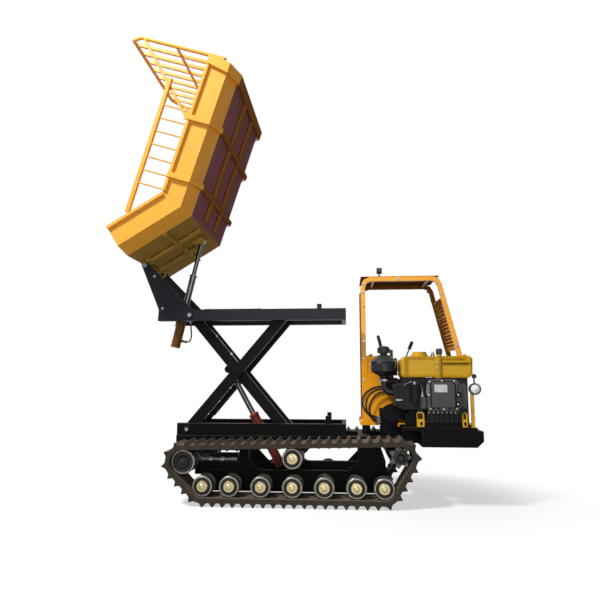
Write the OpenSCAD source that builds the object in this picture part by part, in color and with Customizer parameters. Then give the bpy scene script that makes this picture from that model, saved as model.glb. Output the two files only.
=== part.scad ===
// Tracked power carrier with a scissor lift and a tipping load body.
// X points to the engine end, Y to the driver side, Z up. Millimetres.
// Rest pose: lift raised and load body tipped, as the machine is shown.

/* [Tracks] */
// distance between the centre planes of the two tracks
track_gauge = 950; // [860:5:1100]
// width of one rubber belt
track_w = 300; // [240:5:360]
// thickness of the belt without its lugs
belt_t = 41; // [28:1:50]
// height of the outer lugs
lug_h = 34; // [20:1:45]
// number of lugs round one belt
lug_count = 54; // [48:1:60]
// height of the inner guide lugs
guide_h = 22; // [14:1:26]
// rim diameter of the road wheels and the carrier rollers
wheel_d = 184; // [160:2:200]
// spacing of the five inner road wheels
wheel_pitch = 283; // [240:1:310]
// spacing of the outermost road wheels
end_pitch = 242; // [215:1:280]
// rim diameter of the rear idler
idler_d = 219; // [180:2:240]
// tip diameter of the drive sprocket
sprocket_d = 199; // [180:1:220]
// number of sprocket teeth
sprocket_teeth = 7; // [6:1:10]

/* [Frames] */
// height of the frame channels
channel_h = 112; // [100:1:130]
// width over the outer faces of the frame channels
frame_w = 570; // [540:2:600]
// distance between lower and upper scissor pivots, lift raised
lift_rise = 1100; // [900:5:1200]
// horizontal reach of the scissor arms, lift raised
lift_run = 932; // [860:2:1000]
// depth of the scissor arm tubes
arm_h = 100; // [80:1:110]
// thickness of the scissor arm tubes
arm_t = 50; // [40:1:52]
// diameter of the slide rollers
slide_d = 92; // [80:1:95]

/* [Load body] */
// angle of the load body above level
tip_angle = 72.5; // [60:0.5:78]
// outer width of the load body
body_w = 1500; // [1400:5:1560]
// height of the load body over its floor
body_h = 290; // [240:2:330]
// thickness of the load body sheet
sheet_t = 5; // [4:0.5:8]
// length of the level part of the floor
floor_len = 1537; // [1400:5:1580]
// length of the raised rear ramp
ramp_len = 715; // [600:5:760]
// height of the side rails over the body edge
rail_h = 295; // [220:5:340]
// height of the front guard over the body edge
guard_h = 870; // [700:10:950]

/* [Cylinders] */
// bore side diameter of the lift cylinder barrel
lift_barrel_d = 90; // [76:1:96]
// diameter of the lift cylinder rod
lift_rod_d = 55; // [40:1:60]
// diameter of the tip cylinder barrel
tip_barrel_d = 96; // [86:1:100]
// diameter of the tip cylinder rod
tip_rod_d = 45; // [36:1:50]

/* [Driver place] */
// height of the canopy over the ground
canopy_z = 2138; // [1950:5:2300]
// diameter of the canopy tubes
canopy_tube = 44; // [34:1:50]
// width of the canopy over its side frames
canopy_w = 590; // [540:5:610]
// height of the seat cushion top over the deck
seat_z = 420; // [380:5:450]

/* [Engine] */
// width of the engine across the machine
engine_w = 380; // [340:5:400]
// diameter of the engine flywheel
flywheel_d = 340; // [280:5:360]
// diameter of the air cleaner drum
cleaner_d = 246; // [200:2:250]

/* [Hidden] */
$fn = 48;

// fits: moving surfaces in a bore, free gaps between bodies
fit = 0.08;
run_gap = 0.6;
// packing gap under the bolted track frames
seat_gap = 0.3;
shift_x = 28.15;

// running gear, seen from the near side
gear_y = track_gauge / 2;
belt_out = belt_t + lug_h;
wheel_r = wheel_d / 2;
wheel_z = belt_out + run_gap + wheel_r;
wheel_x = [-2 * wheel_pitch - end_pitch, -2 * wheel_pitch, -wheel_pitch, 0, wheel_pitch,
    2 * wheel_pitch, 2 * wheel_pitch + end_pitch];
idler_r = idler_d / 2;
idler_c = [wheel_x[0] - 182, wheel_z + 210];
sprocket_r = sprocket_d / 2;
sprocket_c = [wheel_x[6] + 147, wheel_z + 264];
axle_d = 40;
loop_c = [idler_c, [wheel_x[0], wheel_z], [wheel_x[6], wheel_z], sprocket_c];
loop_r = [idler_r + run_gap, wheel_r + run_gap, wheel_r + run_gap, sprocket_r + run_gap];
function tangent_a(i) = let (j = (i + 1) % 4, d = loop_c[j] - loop_c[i])
    atan2(d[1], d[0]) - acos((loop_r[i] - loop_r[j]) / norm(d));
loop_a = [for (i = [0:3]) tangent_a(i)];
function ray(a) = [cos(a), sin(a)];
loop_p = [for (i = [0:3]) [loop_c[i] + loop_r[i] * ray(loop_a[i]),
    loop_c[(i + 1) % 4] + loop_r[(i + 1) % 4] * ray(loop_a[i])]];
function turn(i) = let (d = loop_a[i] - loop_a[(i + 3) % 4]) d - 360 * floor(d / 360);
neutral = belt_t / 2;
loop_len = [for (i = [0:7]) i % 2 == 0
    ? turn(i / 2) * PI / 180 * (loop_r[i / 2] + neutral)
    : norm(loop_p[(i - 1) / 2][1] - loop_p[(i - 1) / 2][0])];
function sum_to(k) = k == 0 ? 0 : loop_len[k - 1] + sum_to(k - 1);
loop_total = sum_to(8);
function leg_of(s, k = 0) = k == 7 || s < sum_to(k + 1) ? k : leg_of(s, k + 1);
// point on the inner face of the belt and the direction out of it
function belt_at(s) = let (k = leg_of(s), i = floor(k / 2), r = s - sum_to(k))
    k % 2 == 0
    ? let (a = loop_a[(i + 3) % 4] + r / (loop_r[i] + neutral) * 180 / PI)
        [loop_c[i] + loop_r[i] * ray(a), a]
    : [loop_p[i][0] + (loop_p[i][1] - loop_p[i][0]) * r / loop_len[k], loop_a[i]];
// top run of the belt: inner face height at a station
top_a = loop_p[3][1];
top_b = loop_p[3][0];
function top_run(x) = top_a[1] + (x - top_a[0]) / (top_b[0] - top_a[0]) * (top_b[1] - top_a[1]);
carrier_z = top_run(0) - wheel_r - run_gap - 2;

// frames and scissor
out_y = frame_w / 2;
web_t = 6;
flange_t = 7;
flange_y = out_y - 60;
pivot_x = -1044;
low_z = 639;
high_z = low_z + lift_rise;
arm_len = norm([lift_run, lift_rise]);
arm_a = atan2(lift_rise, lift_run);
arm_gap = 6;
outer_y1 = flange_y - 7;
outer_y0 = outer_y1 - arm_t;
inner_y1 = outer_y0 - arm_gap;
inner_y0 = inner_y1 - arm_t;
frame_x0 = -1142;
frame_x1 = 482;
upper_x0 = -1360;
upper_x1 = 491;
pin_d = 36;
shaft_d = 50;
slide_x = pivot_x + lift_run;
rail_y0 = flange_y;
rail_z0 = low_z - channel_h / 2 - 63;
rail_z1 = low_z - channel_h / 2;
beam_y1 = gear_y - track_w / 2 - 10;
beam_y0 = beam_y1 - 45;
deck_z = low_z + 59;

// load body in its own frame, hinge at the origin
hinge = [-1517, high_z + 510];
floor_v = -407;
ramp_a = 41;
crease_u = 548;
front_u = crease_u + floor_len;
rim_v = floor_v + body_h;
bevel_in = 145;
bevel_up = 76;
hinge_d = 40;
tip_arm = 586;
tip_eye_a = -41.3;
trunnion_a = -57.1;
trunnion = hinge + tip_arm * ray(trunnion_a);
tip_eye = hinge + tip_arm * ray(tip_angle + tip_eye_a);
tip_dir = (tip_angle + tip_eye_a + trunnion_a) / 2 + 90;
tip_open = norm(tip_eye - trunnion);
trunnion_d = 40;
tip_stage_d = (tip_barrel_d - 20 + tip_rod_d) / 2 + 6;

// lift cylinder: equal arms about the lower pivot
lift_arm = 669;
lift_eye_a = arm_a + 9.1;
lift_base = [pivot_x + lift_arm, low_z];
lift_eye = [pivot_x, low_z] + lift_arm * ray(lift_eye_a);
lift_dir = lift_eye_a / 2 + 90;
lift_open = norm(lift_eye - lift_base);
ear_y = lift_barrel_d / 2 + 7;

// driver place
cab_y0 = -30;
cab_y1 = cab_y0 + canopy_w;
post_x = 664;

// engine
eng_y0 = -620;
eng_y1 = eng_y0 + engine_w;
crank = [1345, deck_z + 210];

// colours
BLACK = [0.10, 0.10, 0.11];
FRAME = [0.18, 0.17, 0.22];
RUBBER = [0.22, 0.20, 0.18];
STEEL = [0.55, 0.55, 0.56];
CHROME = [0.82, 0.83, 0.85];
ORANGE = [0.95, 0.65, 0.18];
YELLOW = [0.88, 0.74, 0.18];
DARK = [0.20, 0.21, 0.24];
RED = [0.42, 0.20, 0.12];

module placed() translate([shift_x, 0, 0]) children();
module box(x0, x1, y0, y1, z0, z1) translate([x0, y0, z0]) cube([x1 - x0, y1 - y0, z1 - z0]);
module slab(y0, y1) translate([0, y1, 0]) rotate([90, 0, 0]) linear_extrude(height = y1 - y0) children();
module bar_y(x, z, d, y0, y1) translate([x, y0, z]) rotate([-90, 0, 0]) cylinder(d = d, h = y1 - y0);
module bar_z(x, y, d, z0, z1) translate([x, y, z0]) cylinder(d = d, h = z1 - z0);
module bar_x(y, z, d, x0, x1) translate([x0, y, z]) rotate([0, 90, 0]) cylinder(d = d, h = x1 - x0);
module both_sides() {
    children();
    mirror([0, 1, 0]) children();
}
module for_side(s) {
    if (s < 0) children();
    else mirror([0, 1, 0]) children();
}
// a straight round bar between two points
module rod_between(p, q, d) {
    v = q - p;
    translate(p)
        rotate([0, acos(v[2] / norm(v)), atan2(v[1], v[0])])
        cylinder(d = d, h = norm(v));
}

// belts, drawn on the near side and mirrored
arc_steps = 24;
lug_side = [[27, 0], [24, 4], [9, lug_h * 0.72], [5, lug_h]];
lug_outline = concat(lug_side, [for (i = [3:-1:0]) [-lug_side[i][0], lug_side[i][1]]]);
function on_belt(q, x, h) = q[0] + x * ray(q[1] - 90) + h * ray(q[1]);
belt_inside = [for (i = [0:3]) for (j = [0:arc_steps])
    loop_c[i] + loop_r[i] * ray(loop_a[(i + 3) % 4] + turn(i) * j / arc_steps)];
belt_outside = [for (k = [0:lug_count - 1]) for (p = lug_outline)
    on_belt(belt_at(loop_total * (k + 0.5) / lug_count), p[0], belt_t + p[1])];
module belt(s) for_side(s) {
    slab(-gear_y - track_w / 2, -gear_y + track_w / 2) difference() {
        polygon(belt_outside);
        polygon(belt_inside);
    }
    slab(-gear_y - 14, -gear_y + 14)
        for (k = [0:lug_count - 1]) {
            q = belt_at(loop_total * (k + 0.5) / lug_count);
            polygon([for (p = [[14, 6], [14, -guide_h * 0.5], [10, -guide_h], [-10, -guide_h],
                [-14, -guide_h * 0.5], [-14, 6]])
                on_belt(q, p[0], p[1])]);
        }
}
module track_belt_near() color(RUBBER) placed() belt(-1);
module track_belt_far() color(RUBBER) placed() belt(1);

// wheels: profile is radius and distance out from the track centre plane
waist_r = wheel_r - guide_h - 10;
module wheel_body(r, waist) {
    difference() {
        rotate_extrude($fn = 64)
            polygon([[0, -105], [r - 6, -105], [r, -99], [r, -51], [r - 6, -45], [waist, -40], [waist, 40],
                [r - 6, 45], [r, 51], [r, 99], [r - 6, 105], [r - 16, 105], [r - 22, 96], [56, 96],
                    [52, 105],
                [46, 113], [27, 114], [25, 121], [17, 126], [0, 127]]);
        translate([0, 0, -106]) cylinder(d = axle_d + 2 * fit, h = 186);
    }
    for (k = [0:2]) rotate(90 + 120 * k) translate([40, 0, 100]) cylinder(d = 15, h = 17, $fn = 24);
}
module wheel_at(s, c, r, waist) for_side(s)
    translate([c[0], -gear_y, c[1]]) rotate([90, 0, 0]) wheel_body(r, waist);
module road_wheel(s, k) color(DARK) placed() wheel_at(s, [wheel_x[k], wheel_z], wheel_r, waist_r);
module road_wheel_n1() road_wheel(-1, 0);
module road_wheel_n2() road_wheel(-1, 1);
module road_wheel_n3() road_wheel(-1, 2);
module road_wheel_n4() road_wheel(-1, 3);
module road_wheel_n5() road_wheel(-1, 4);
module road_wheel_n6() road_wheel(-1, 5);
module road_wheel_n7() road_wheel(-1, 6);
module road_wheel_f1() road_wheel(1, 0);
module road_wheel_f2() road_wheel(1, 1);
module road_wheel_f3() road_wheel(1, 2);
module road_wheel_f4() road_wheel(1, 3);
module road_wheel_f5() road_wheel(1, 4);
module road_wheel_f6() road_wheel(1, 5);
module road_wheel_f7() road_wheel(1, 6);
module carrier_near() color(DARK) placed() wheel_at(-1, [0, carrier_z], wheel_r, waist_r);
module carrier_far() color(DARK) placed() wheel_at(1, [0, carrier_z], wheel_r, waist_r);
module idler_near() color(DARK) placed() wheel_at(-1, idler_c, idler_r, waist_r);
module idler_far() color(DARK) placed() wheel_at(1, idler_c, idler_r, waist_r);

// sprocket: two toothed plates either side of the guide lugs, on its own half shaft
module sprocket(s) for_side(s) translate([sprocket_c[0], -gear_y, sprocket_c[1]]) rotate([90, 0, 0]) {
    for (z = [-46, 24]) translate([0, 0, z]) linear_extrude(height = 22) {
        circle(r = sprocket_r - 30);
        for (k = [0:sprocket_teeth - 1]) rotate(360 * k / sprocket_teeth)
            polygon([[0, -26], [sprocket_r - 30, -24], [sprocket_r - 5, -12], [sprocket_r - 1, -8],
                [sprocket_r - 1, 8], [sprocket_r - 5, 12], [sprocket_r - 30, 24], [0, 26]]);
    }
    rotate_extrude($fn = 64)
        polygon([[0, -235], [25, -235], [25, -130], [44, -126], [44, 64], [58, 66], [58, 78], [34, 80],
            [34, 96],
            [24, 108], [0, 108]]);
    for (k = [0:2]) rotate(90 + 120 * k) translate([47, 0, 70]) cylinder(d = 15, h = 17, $fn = 24);
}
module sprocket_near() color(STEEL) placed() sprocket(-1);
module sprocket_far() color(STEEL) placed() sprocket(1);

// chassis weldment: rails, cross beams, track beams with axles and tensioners
module chassis_frame() color(BLACK) placed() {
    both_sides() {
        box(frame_x0, 1000, -out_y - 15, -rail_y0, rail_z0, rail_z1);
        box(wheel_x[0] - 55, wheel_x[6] + 55, -beam_y1, -beam_y0, wheel_z - 86, wheel_z + 107);
        for (x = [-480, 0, 640])
            box(x - 45, x + 45, -beam_y1, -beam_y0, wheel_z + 100, rail_z0 - seat_gap);
        slab(-beam_y1, -beam_y1 + 12) {
            polygon([[-437, wheel_z + 105], [-330, wheel_z + 105], [-437, wheel_z + 215]]);
            polygon([[597, wheel_z + 105], [490, wheel_z + 105], [597, wheel_z + 215]]);
            polygon([[683, wheel_z + 105], [840, wheel_z + 105], [840, wheel_z + 200],
                [790, rail_z0 - seat_gap], [683, rail_z0 - seat_gap]]);
        }
        for (x = wheel_x) bar_y(x, wheel_z, axle_d, -gear_y - 70, -beam_y0 - 10);
        for (x = wheel_x) bar_y(x, wheel_z, 84, -gear_y + 111, -beam_y1 + 5);
        bar_y(0, carrier_z, axle_d, -gear_y - 70, -beam_y0 - 10);
        bar_y(0, carrier_z, 84, -gear_y + 111, -beam_y1 + 5);
        // idler slide, tension rod and its bracket
        bar_y(idler_c[0], idler_c[1], axle_d, -gear_y - 70, -beam_y0 - 10);
        box(idler_c[0] - 45, idler_c[0] + 60, -gear_y + 113, -beam_y0, idler_c[1] - 36, idler_c[1] + 36);
        bar_x(-gear_y + 130, idler_c[1] - 4, 26, idler_c[0] + 55, -470);
        for (x = [idler_c[0] + 190, idler_c[0] + 300])
            bar_x(-gear_y + 130, idler_c[1] - 4, 46, x, x + 30, $fn = 6);
        box(-535, -480, -gear_y + 105, -beam_y0, idler_c[1] - 38, idler_c[1] + 34);
        box(idler_c[0] + 40, -525, -beam_y1 + 6, -beam_y0, wheel_z + 60, idler_c[1] - 30);
    }
    for (x = [-1100, -480, 640])
        box(x - 40, x + 40, -rail_y0 - 5, rail_y0 + 5, rail_z0, rail_z1);
    for (x = [648, 900]) box(x, x + 80, rail_y0, out_y, rail_z1 - 2, deck_z - 30);
    box(640, 680, -55, 55, rail_z1 - 2, deck_z - 30);
}

// channels of one frame, open to the inside
module channels(x0, x1, z) both_sides() {
    box(x0, x1, -out_y, -out_y + web_t, z - channel_h / 2, z + channel_h / 2);
    for (k = [-1, 1])
        box(x0, x1, -out_y, -flange_y, z + k * (channel_h - flange_t) / 2 - flange_t / 2,
            z + k * (channel_h - flange_t) / 2 + flange_t / 2);
}
// bored plate pair that carries a trunnion
module trunnion_plates(x0, x1, z0, z1, c) both_sides() difference() {
    union() {
        box(x0, x1, -82, -64, z0, z1);
        bar_y(c[0], c[1], 84, -82, -64);
    }
    bar_y(c[0], c[1], trunnion_d + 2 * fit, -83, -63);
}
module lower_frame() color(FRAME) placed() {
    channels(frame_x0, frame_x1, low_z);
    box(frame_x0, frame_x0 + 40, -out_y + 1, out_y - 1, low_z - channel_h / 2, low_z);
    box(frame_x1 - 40, frame_x1, -out_y + 1, out_y - 1, low_z - channel_h / 2, low_z + channel_h / 2);
    for (x = [lift_base[0] - 105, lift_base[0] + 100])
        box(x, x + 30, -out_y + 1, out_y - 1, low_z - channel_h / 2, low_z + 11);
    trunnion_plates(lift_base[0] - 100, lift_base[0] + 125, low_z - 50, low_z + 20, lift_base);
    both_sides() {
        bar_y(pivot_x, low_z, pin_d, -out_y, -outer_y0 + 2);
        bar_y(pivot_x, low_z, 62, -out_y - 9, -out_y + 1);
        bar_y(pivot_x, low_z, 38, -out_y - 20, -out_y, $fn = 6);
        box(287, 331, -out_y + 2, -flange_y - 8, low_z + channel_h / 2 - 1, low_z + channel_h / 2 + 74);
    }
}
module upper_frame() color(FRAME) placed() {
    channels(upper_x0, upper_x1, high_z);
    top = high_z + channel_h / 2;
    box(upper_x0, upper_x0 + 42, -out_y + 1, out_y - 1, high_z + 20, top);
    box(upper_x1 - 42, upper_x1, -out_y + 1, out_y - 1, high_z - channel_h / 2, top);
    trunnion_plates(upper_x0 + 5, trunnion[0] + 20, trunnion[1] - 30, trunnion[1] + 32, trunnion);
    both_sides() {
        bar_y(pivot_x, high_z, pin_d, -out_y, -inner_y0 + 2);
        bar_y(pivot_x, high_z, 74, -out_y - 12, -out_y + 1);
        bar_y(pivot_x, high_z, 44, -out_y - 24, -out_y, $fn = 6);
        box(211, 255, -out_y + 2, -flange_y - 8, top - 1, top + 44);
        slab(-out_y - 8, -out_y + 6) {
            difference() {
                union() {
                    translate(hinge) circle(d = 72);
                    polygon([hinge + [-36, 0], [upper_x0, top], [upper_x0 - 5, high_z - channel_h / 2],
                        [upper_x0 + 320, high_z - channel_h / 2], [pivot_x + 26, top], hinge + [26, 25]]);
                }
                polygon([[upper_x0 + 60, top + 70], [upper_x0 + 150, top + 70],
                    [upper_x0 + 60, top + 190]]);
            }
        }
        bar_y(hinge[0], hinge[1], hinge_d, -out_y - 14, -out_y + 44);
        bar_y(hinge[0], hinge[1], 56, -out_y - 20, -out_y - 7, $fn = 6);
        for (p = [[hinge[0] + 105, hinge[1] - 118], [upper_x0 + 40, top + 12]])
            bar_y(p[0], p[1], 30, -out_y - 16, -out_y - 7, $fn = 6);
    }
    bar_x(-out_y + 30, top + 3.2, 7, -915, -340);
    for (x = [-880, -375]) box(x, x + 24, -out_y + 20, -out_y + 40, top - 1, top + 7.5);
}

// scissor arms
module arm_tube(y0, y1) difference() {
    union() {
        box(0, arm_len, y0, y1, -arm_h / 2, arm_h / 2);
        for (x = [0, arm_len]) bar_y(x, 0, arm_h, y0, y1);
    }
    box(60, arm_len / 2 - 60, y0 + 5, y1 - 5, -arm_h / 2 + 5, arm_h / 2 - 5);
    box(arm_len / 2 + 60, arm_len - 60, y0 + 5, y1 - 5, -arm_h / 2 + 5, arm_h / 2 - 5);
}
module outer_arms() color(FRAME) placed() translate([pivot_x, 0, low_z]) rotate([0, -arm_a, 0]) {
    both_sides() {
        difference() {
            arm_tube(-outer_y1, -outer_y0);
            bar_y(0, 0, pin_d + 2 * fit, -outer_y1 - 1, -outer_y0 + 1);
        }
        bar_y(arm_len, 0, pin_d, -out_y + web_t + 3, -outer_y1 + 5);
        bar_y(arm_len / 2, 0, 66, -outer_y1 - 7, -outer_y1 + 1);
        bar_y(arm_len / 2, 0, 40, -outer_y1 - 12, -outer_y1, $fn = 6);
    }
    bar_y(arm_len, 0, 44, -outer_y0 - 2, outer_y0 + 2);
    bar_y(130, 0, 44, -outer_y0 - 2, outer_y0 + 2);
    // lift ears on the two centre stubs, with the rod pin between them
    both_sides() bar_y(arm_len / 2, 0, shaft_d, -outer_y0 - 2, -ear_y);
    e = lift_arm * ray(lift_eye_a - arm_a) - [arm_len / 2, 0];
    both_sides() slab(-ear_y - 16, -ear_y) {
        translate([arm_len / 2, 0]) circle(d = 96);
        translate([arm_len / 2, 0] + e) circle(d = 76);
        translate([arm_len / 2, 0]) rotate(atan2(e[1], e[0])) translate([0, -38]) square([norm(e), 76]);
    }
    bar_y(arm_len / 2 + e[0], e[1], pin_d, -ear_y - 22, ear_y + 22);
}
module inner_arms() color(FRAME) placed() translate([pivot_x, 0, high_z]) rotate([0, arm_a, 0]) {
    both_sides() {
        difference() {
            arm_tube(-inner_y1, -inner_y0);
            bar_y(0, 0, pin_d + 2 * fit, -inner_y1 - 1, -inner_y0 + 1);
            bar_y(arm_len / 2, 0, shaft_d + 2 * fit, -inner_y1 - 1, -inner_y0 + 1);
        }
        bar_y(arm_len, 0, pin_d, -out_y + web_t + 3, -inner_y1 + 5);
    }
    for (x = [190, arm_len - 260, arm_len]) bar_y(x, 0, 44, -inner_y0 - 2, inner_y0 + 2);
}
module slide_pair(x, z) both_sides() difference() {
    union() {
        bar_y(x, z, slide_d, -out_y + web_t + 3, -flange_y - 4);
        bar_y(x, z, 60, -flange_y - 5, -flange_y + 5);
    }
    bar_y(x, z, pin_d + 2 * fit, -out_y, -flange_y + 6);
}
module lower_rollers() color(STEEL) placed() slide_pair(slide_x, low_z);
module upper_rollers() color(STEEL) placed() slide_pair(slide_x, high_z);

// cylinders, drawn along +X from their trunnion
module along(c, a) translate([c[0], 0, c[1]]) rotate([0, -a, 0]) children();
module rod_eye(x, d) difference() {
    bar_y(x, 0, 66, -d, d);
    bar_y(x, 0, pin_d + 2 * fit, -d - 1, d + 1);
}
module lift_barrel() color(RED) placed() along(lift_base, lift_dir) {
    difference() {
        union() {
            bar_x(0, 0, lift_barrel_d, -430, 130);
            bar_x(0, 0, lift_barrel_d + 8, 118, 142);
            bar_x(0, 0, lift_barrel_d + 10, -36, 36);
        }
        bar_x(0, 0, lift_rod_d + 2 * fit, -415, 150);
    }
    both_sides() bar_y(0, 0, trunnion_d, -84, -40);
    bar_z(-360, 0, 26, lift_barrel_d / 2 - 4, lift_barrel_d / 2 + 26);
}
module lift_rod() color(CHROME) placed() along(lift_base, lift_dir) {
    difference() {
        bar_x(0, 0, lift_rod_d, 82, lift_open - 15);
        bar_y(lift_open, 0, pin_d + 2 * fit, -60, 60);
    }
    rod_eye(lift_open, ear_y - 4);
}
module tip_barrel() color(RED) placed() along(trunnion, tip_dir) {
    difference() {
        union() {
            bar_x(0, 0, tip_barrel_d, -330, 95);
            bar_x(0, 0, 106, -32, 32);
        }
        bar_x(0, 0, tip_stage_d + 2 * fit, -312, 100);
    }
    both_sides() bar_y(0, 0, trunnion_d, -84, -44);
    bar_z(-250, 0, 26, -tip_barrel_d / 2 - 26, -tip_barrel_d / 2 + 4);
}
module tip_stage() color(CHROME) placed() along(trunnion, tip_dir) difference() {
    union() {
        bar_x(0, 0, tip_stage_d, 30, 430);
        bar_x(0, 0, tip_stage_d + 14, 430, 444);
    }
    bar_x(0, 0, tip_rod_d + 2 * fit, 29, 445);
}
module tip_rod_shape() along(trunnion, tip_dir) {
    difference() {
        bar_x(0, 0, tip_rod_d, tip_open - 440, tip_open - 15);
        bar_y(tip_open, 0, pin_d + 2 * fit, -50, 50);
    }
    rod_eye(tip_open, 38);
}

// load body, drawn level about its hinge and then tipped
module tipped() translate([hinge[0], 0, hinge[1]]) rotate([0, -tip_angle, 0]) children();
function section(e) = let (h = body_w / 2 - e)
    [[-h + bevel_in, e], [h - bevel_in, e], [h, bevel_up + e * 0.4], [h, body_h + (e > 0 ? 40 : 0)],
        [-h, body_h + (e > 0 ? 40 : 0)], [-h, bevel_up + e * 0.4]];
module prism(x0, x1, e) translate([x0, 0, 0]) rotate([90, 0, 90])
    linear_extrude(height = x1 - x0) polygon(section(e));
// the front wall leans back from its rim to the floor
front_lean = 62;
function front_at(v) = front_u + front_lean * (v - rim_v) / body_h;
// side view of the trough, set in by e, open upwards and to the rear by the given amounts
function ramp_pt(d) = [crease_u - d * cos(ramp_a), floor_v + d * sin(ramp_a)];
ramp_up = [sin(ramp_a), cos(ramp_a)];
function side_view(e, over, up) = [ramp_pt(ramp_len + over) + e * ramp_up,
    [crease_u + e * tan(ramp_a / 2), floor_v + e],
    [front_at(floor_v + e) - e, floor_v + e], [front_at(rim_v + up) - e, rim_v + up],
    [crease_u + (body_h + up) * tan(ramp_a / 2), rim_v + up],
    ramp_pt(ramp_len + over) + (body_h + up) * ramp_up];
// waste under the bevelled lower edge, along X from the crease
module bevel_waste(x0, x1, e) {
    a = [section(e)[0][0], section(e)[0][1]];
    b = section(e)[5];
    lo = 2 * a - b;
    hi = 2 * b - a;
    both_sides() translate([x0, 0, 0]) rotate([90, 0, 90])
        linear_extrude(height = x1 - x0) polygon([lo, hi, [hi[0], lo[1]]]);
}
module trough(e, over, up) difference() {
    slab(-body_w / 2 + e, body_w / 2 - e) polygon(side_view(e, over, up));
    translate([crease_u, 0, floor_v]) bevel_waste(-300, floor_len + 50, e);
    translate([crease_u, 0, floor_v]) rotate([0, ramp_a, 0]) bevel_waste(-ramp_len - 60, 300, e);
}
module body_shell() color(ORANGE) placed() tipped() difference() {
    trough(0, 0, 0);
    trough(sheet_t, 20, 40);
}
module on_ramp() translate([crease_u, 0, floor_v]) rotate([0, ramp_a, 0]) children();
rib_h = 36;
module rib_band(u0, u1, h) translate([0, 0, floor_v]) difference() {
    prism(u0, u1, -h);
    prism(u0 - 1, u1 + 1, 0);
}
eye_u = tip_arm * ray(tip_eye_a);
rim_t = 22;
module body_ribs() color(ORANGE) placed() tipped() {
    for (u = [crease_u + 264, crease_u + 848]) rib_band(u, u + 50, rib_h);
    low_v = floor_v - rib_h - 1;
    intersection() {
        rib_band(front_at(low_v) - 110, front_u + 1, rib_h);
        slab(-body_w, body_w) polygon([[front_u - 100, rim_v], [front_u, rim_v], [front_at(low_v), low_v],
            [front_at(low_v) - 100, low_v]]);
    }
    both_sides() {
        box(crease_u + 60, front_at(floor_v) - 12, -220, -170, floor_v - rib_h + 2, floor_v);
        box(crease_u + 130, front_u, -body_w / 2 - rim_t, -body_w / 2, rim_v - 28, rim_v);
        on_ramp() box(-ramp_len, -100, -body_w / 2 - rim_t, -body_w / 2, body_h - 28, body_h);
        slab(-out_y + 11, -out_y + 42) difference() {
            union() {
                circle(d = 76);
                polygon([ramp_pt(ramp_len), ramp_pt(600), [34, -18], [-34, -18]]);
            }
            circle(d = hinge_d + 2 * fit);
        }
        slab(-60, -44) {
            translate(eye_u) circle(d = 76);
            polygon([ramp_pt(70), ramp_pt(240), eye_u + [-37, -6], eye_u + [37, -6]]);
        }
    }
    bar_y(eye_u[0], eye_u[1], pin_d, -66, 66);
    on_ramp() {
        for (y = [-235, 165]) box(-ramp_len, -30, y, y + 70, -rib_h, 0);
        box(-320, -280, -body_w / 2 + bevel_in, -62, -30, 0);
        box(-320, -280, 62, body_w / 2 - bevel_in, -30, 0);
        box(-ramp_len, -ramp_len + 40, -200, 200, -30, 0);
    }
}
// side rails and front guard of the load body
rail_y = body_w / 2 + rim_t / 2;
rail_v = rim_v + rail_h;
rail_d = (rail_v - floor_v - body_h * cos(ramp_a)) / sin(ramp_a);
rail_u = (ramp_pt(rail_d) + body_h * [sin(ramp_a), cos(ramp_a)])[0];
guard_v = rim_v + guard_h;
guard_u = front_u + 19;
brace_u = crease_u + 873;
// the side rail falls a little towards the ramp
rail_drop = 40;
rail_low = rail_u + (rail_drop + 18) / tan(ramp_a) + 0.5;
rail_high = brace_u + 330;
function rail_at(u) = rail_v - rail_drop * (rail_high - u) / (rail_high - rail_low);
module body_rails() color(ORANGE) placed() tipped() {
    both_sides() {
        slab(-body_w / 2 - rim_t, -body_w / 2 + 14) polygon([for (p = [[rail_low, -18], [rail_high, -18],
            [rail_high, 18], [rail_low, 18]]) [p[0], rail_at(p[0]) + p[1]]]);
        for (k = [0:6]) {
            u = brace_u + 55 - 131.7 * k;
            bar_z(u, -rail_y, 15, rim_v, rail_at(u));
        }
        rod_between([brace_u, -rail_y, rim_v + 20], [guard_u, -body_w / 2 + 50, guard_v - 150], 26);
        box(brace_u - 25, brace_u + 40, -rail_y - 10, -rail_y + 10, rim_v, rim_v + 34);
        rod_between([guard_u, -body_w / 2 + 50, rim_v - 140], [guard_u, -body_w / 2 + 50, guard_v - 118],
            34);
        rod_between([guard_u, -body_w / 2 + 50, guard_v - 120], [guard_u, -body_w / 2 + 140, guard_v], 34);
        translate([guard_u, -body_w / 2 + 50, guard_v - 119]) sphere(d = 34.5);
        translate([guard_u, -body_w / 2 + 140, guard_v]) sphere(d = 34.5);
        difference() {
            box(front_u - 40, guard_u, -body_w / 2 + 25, -body_w / 2 + 75, rim_v - 130, rim_v - 40);
            trough(0, 0, 0);
        }
    }
    bar_y(guard_u, guard_v, 34, -body_w / 2 + 140, body_w / 2 - 140);
    bar_y(guard_u, rim_v + 30, 30, -body_w / 2 + 50, body_w / 2 - 50);
    bar_y(guard_u, rim_v + 0.43 * guard_h, 26, -body_w / 2 + 50, body_w / 2 - 50);
    for (k = [1:8]) {
        y = -body_w / 2 + 50 + k * (body_w - 100) / 9;
        box(guard_u - 14, guard_u + 14, y - 14, y + 14, rim_v + 25, guard_v - (k == 1 || k == 8 ? 4 : 0));
    }
}
module tip_rod() color(CHROME) placed() tip_rod_shape();

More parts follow.
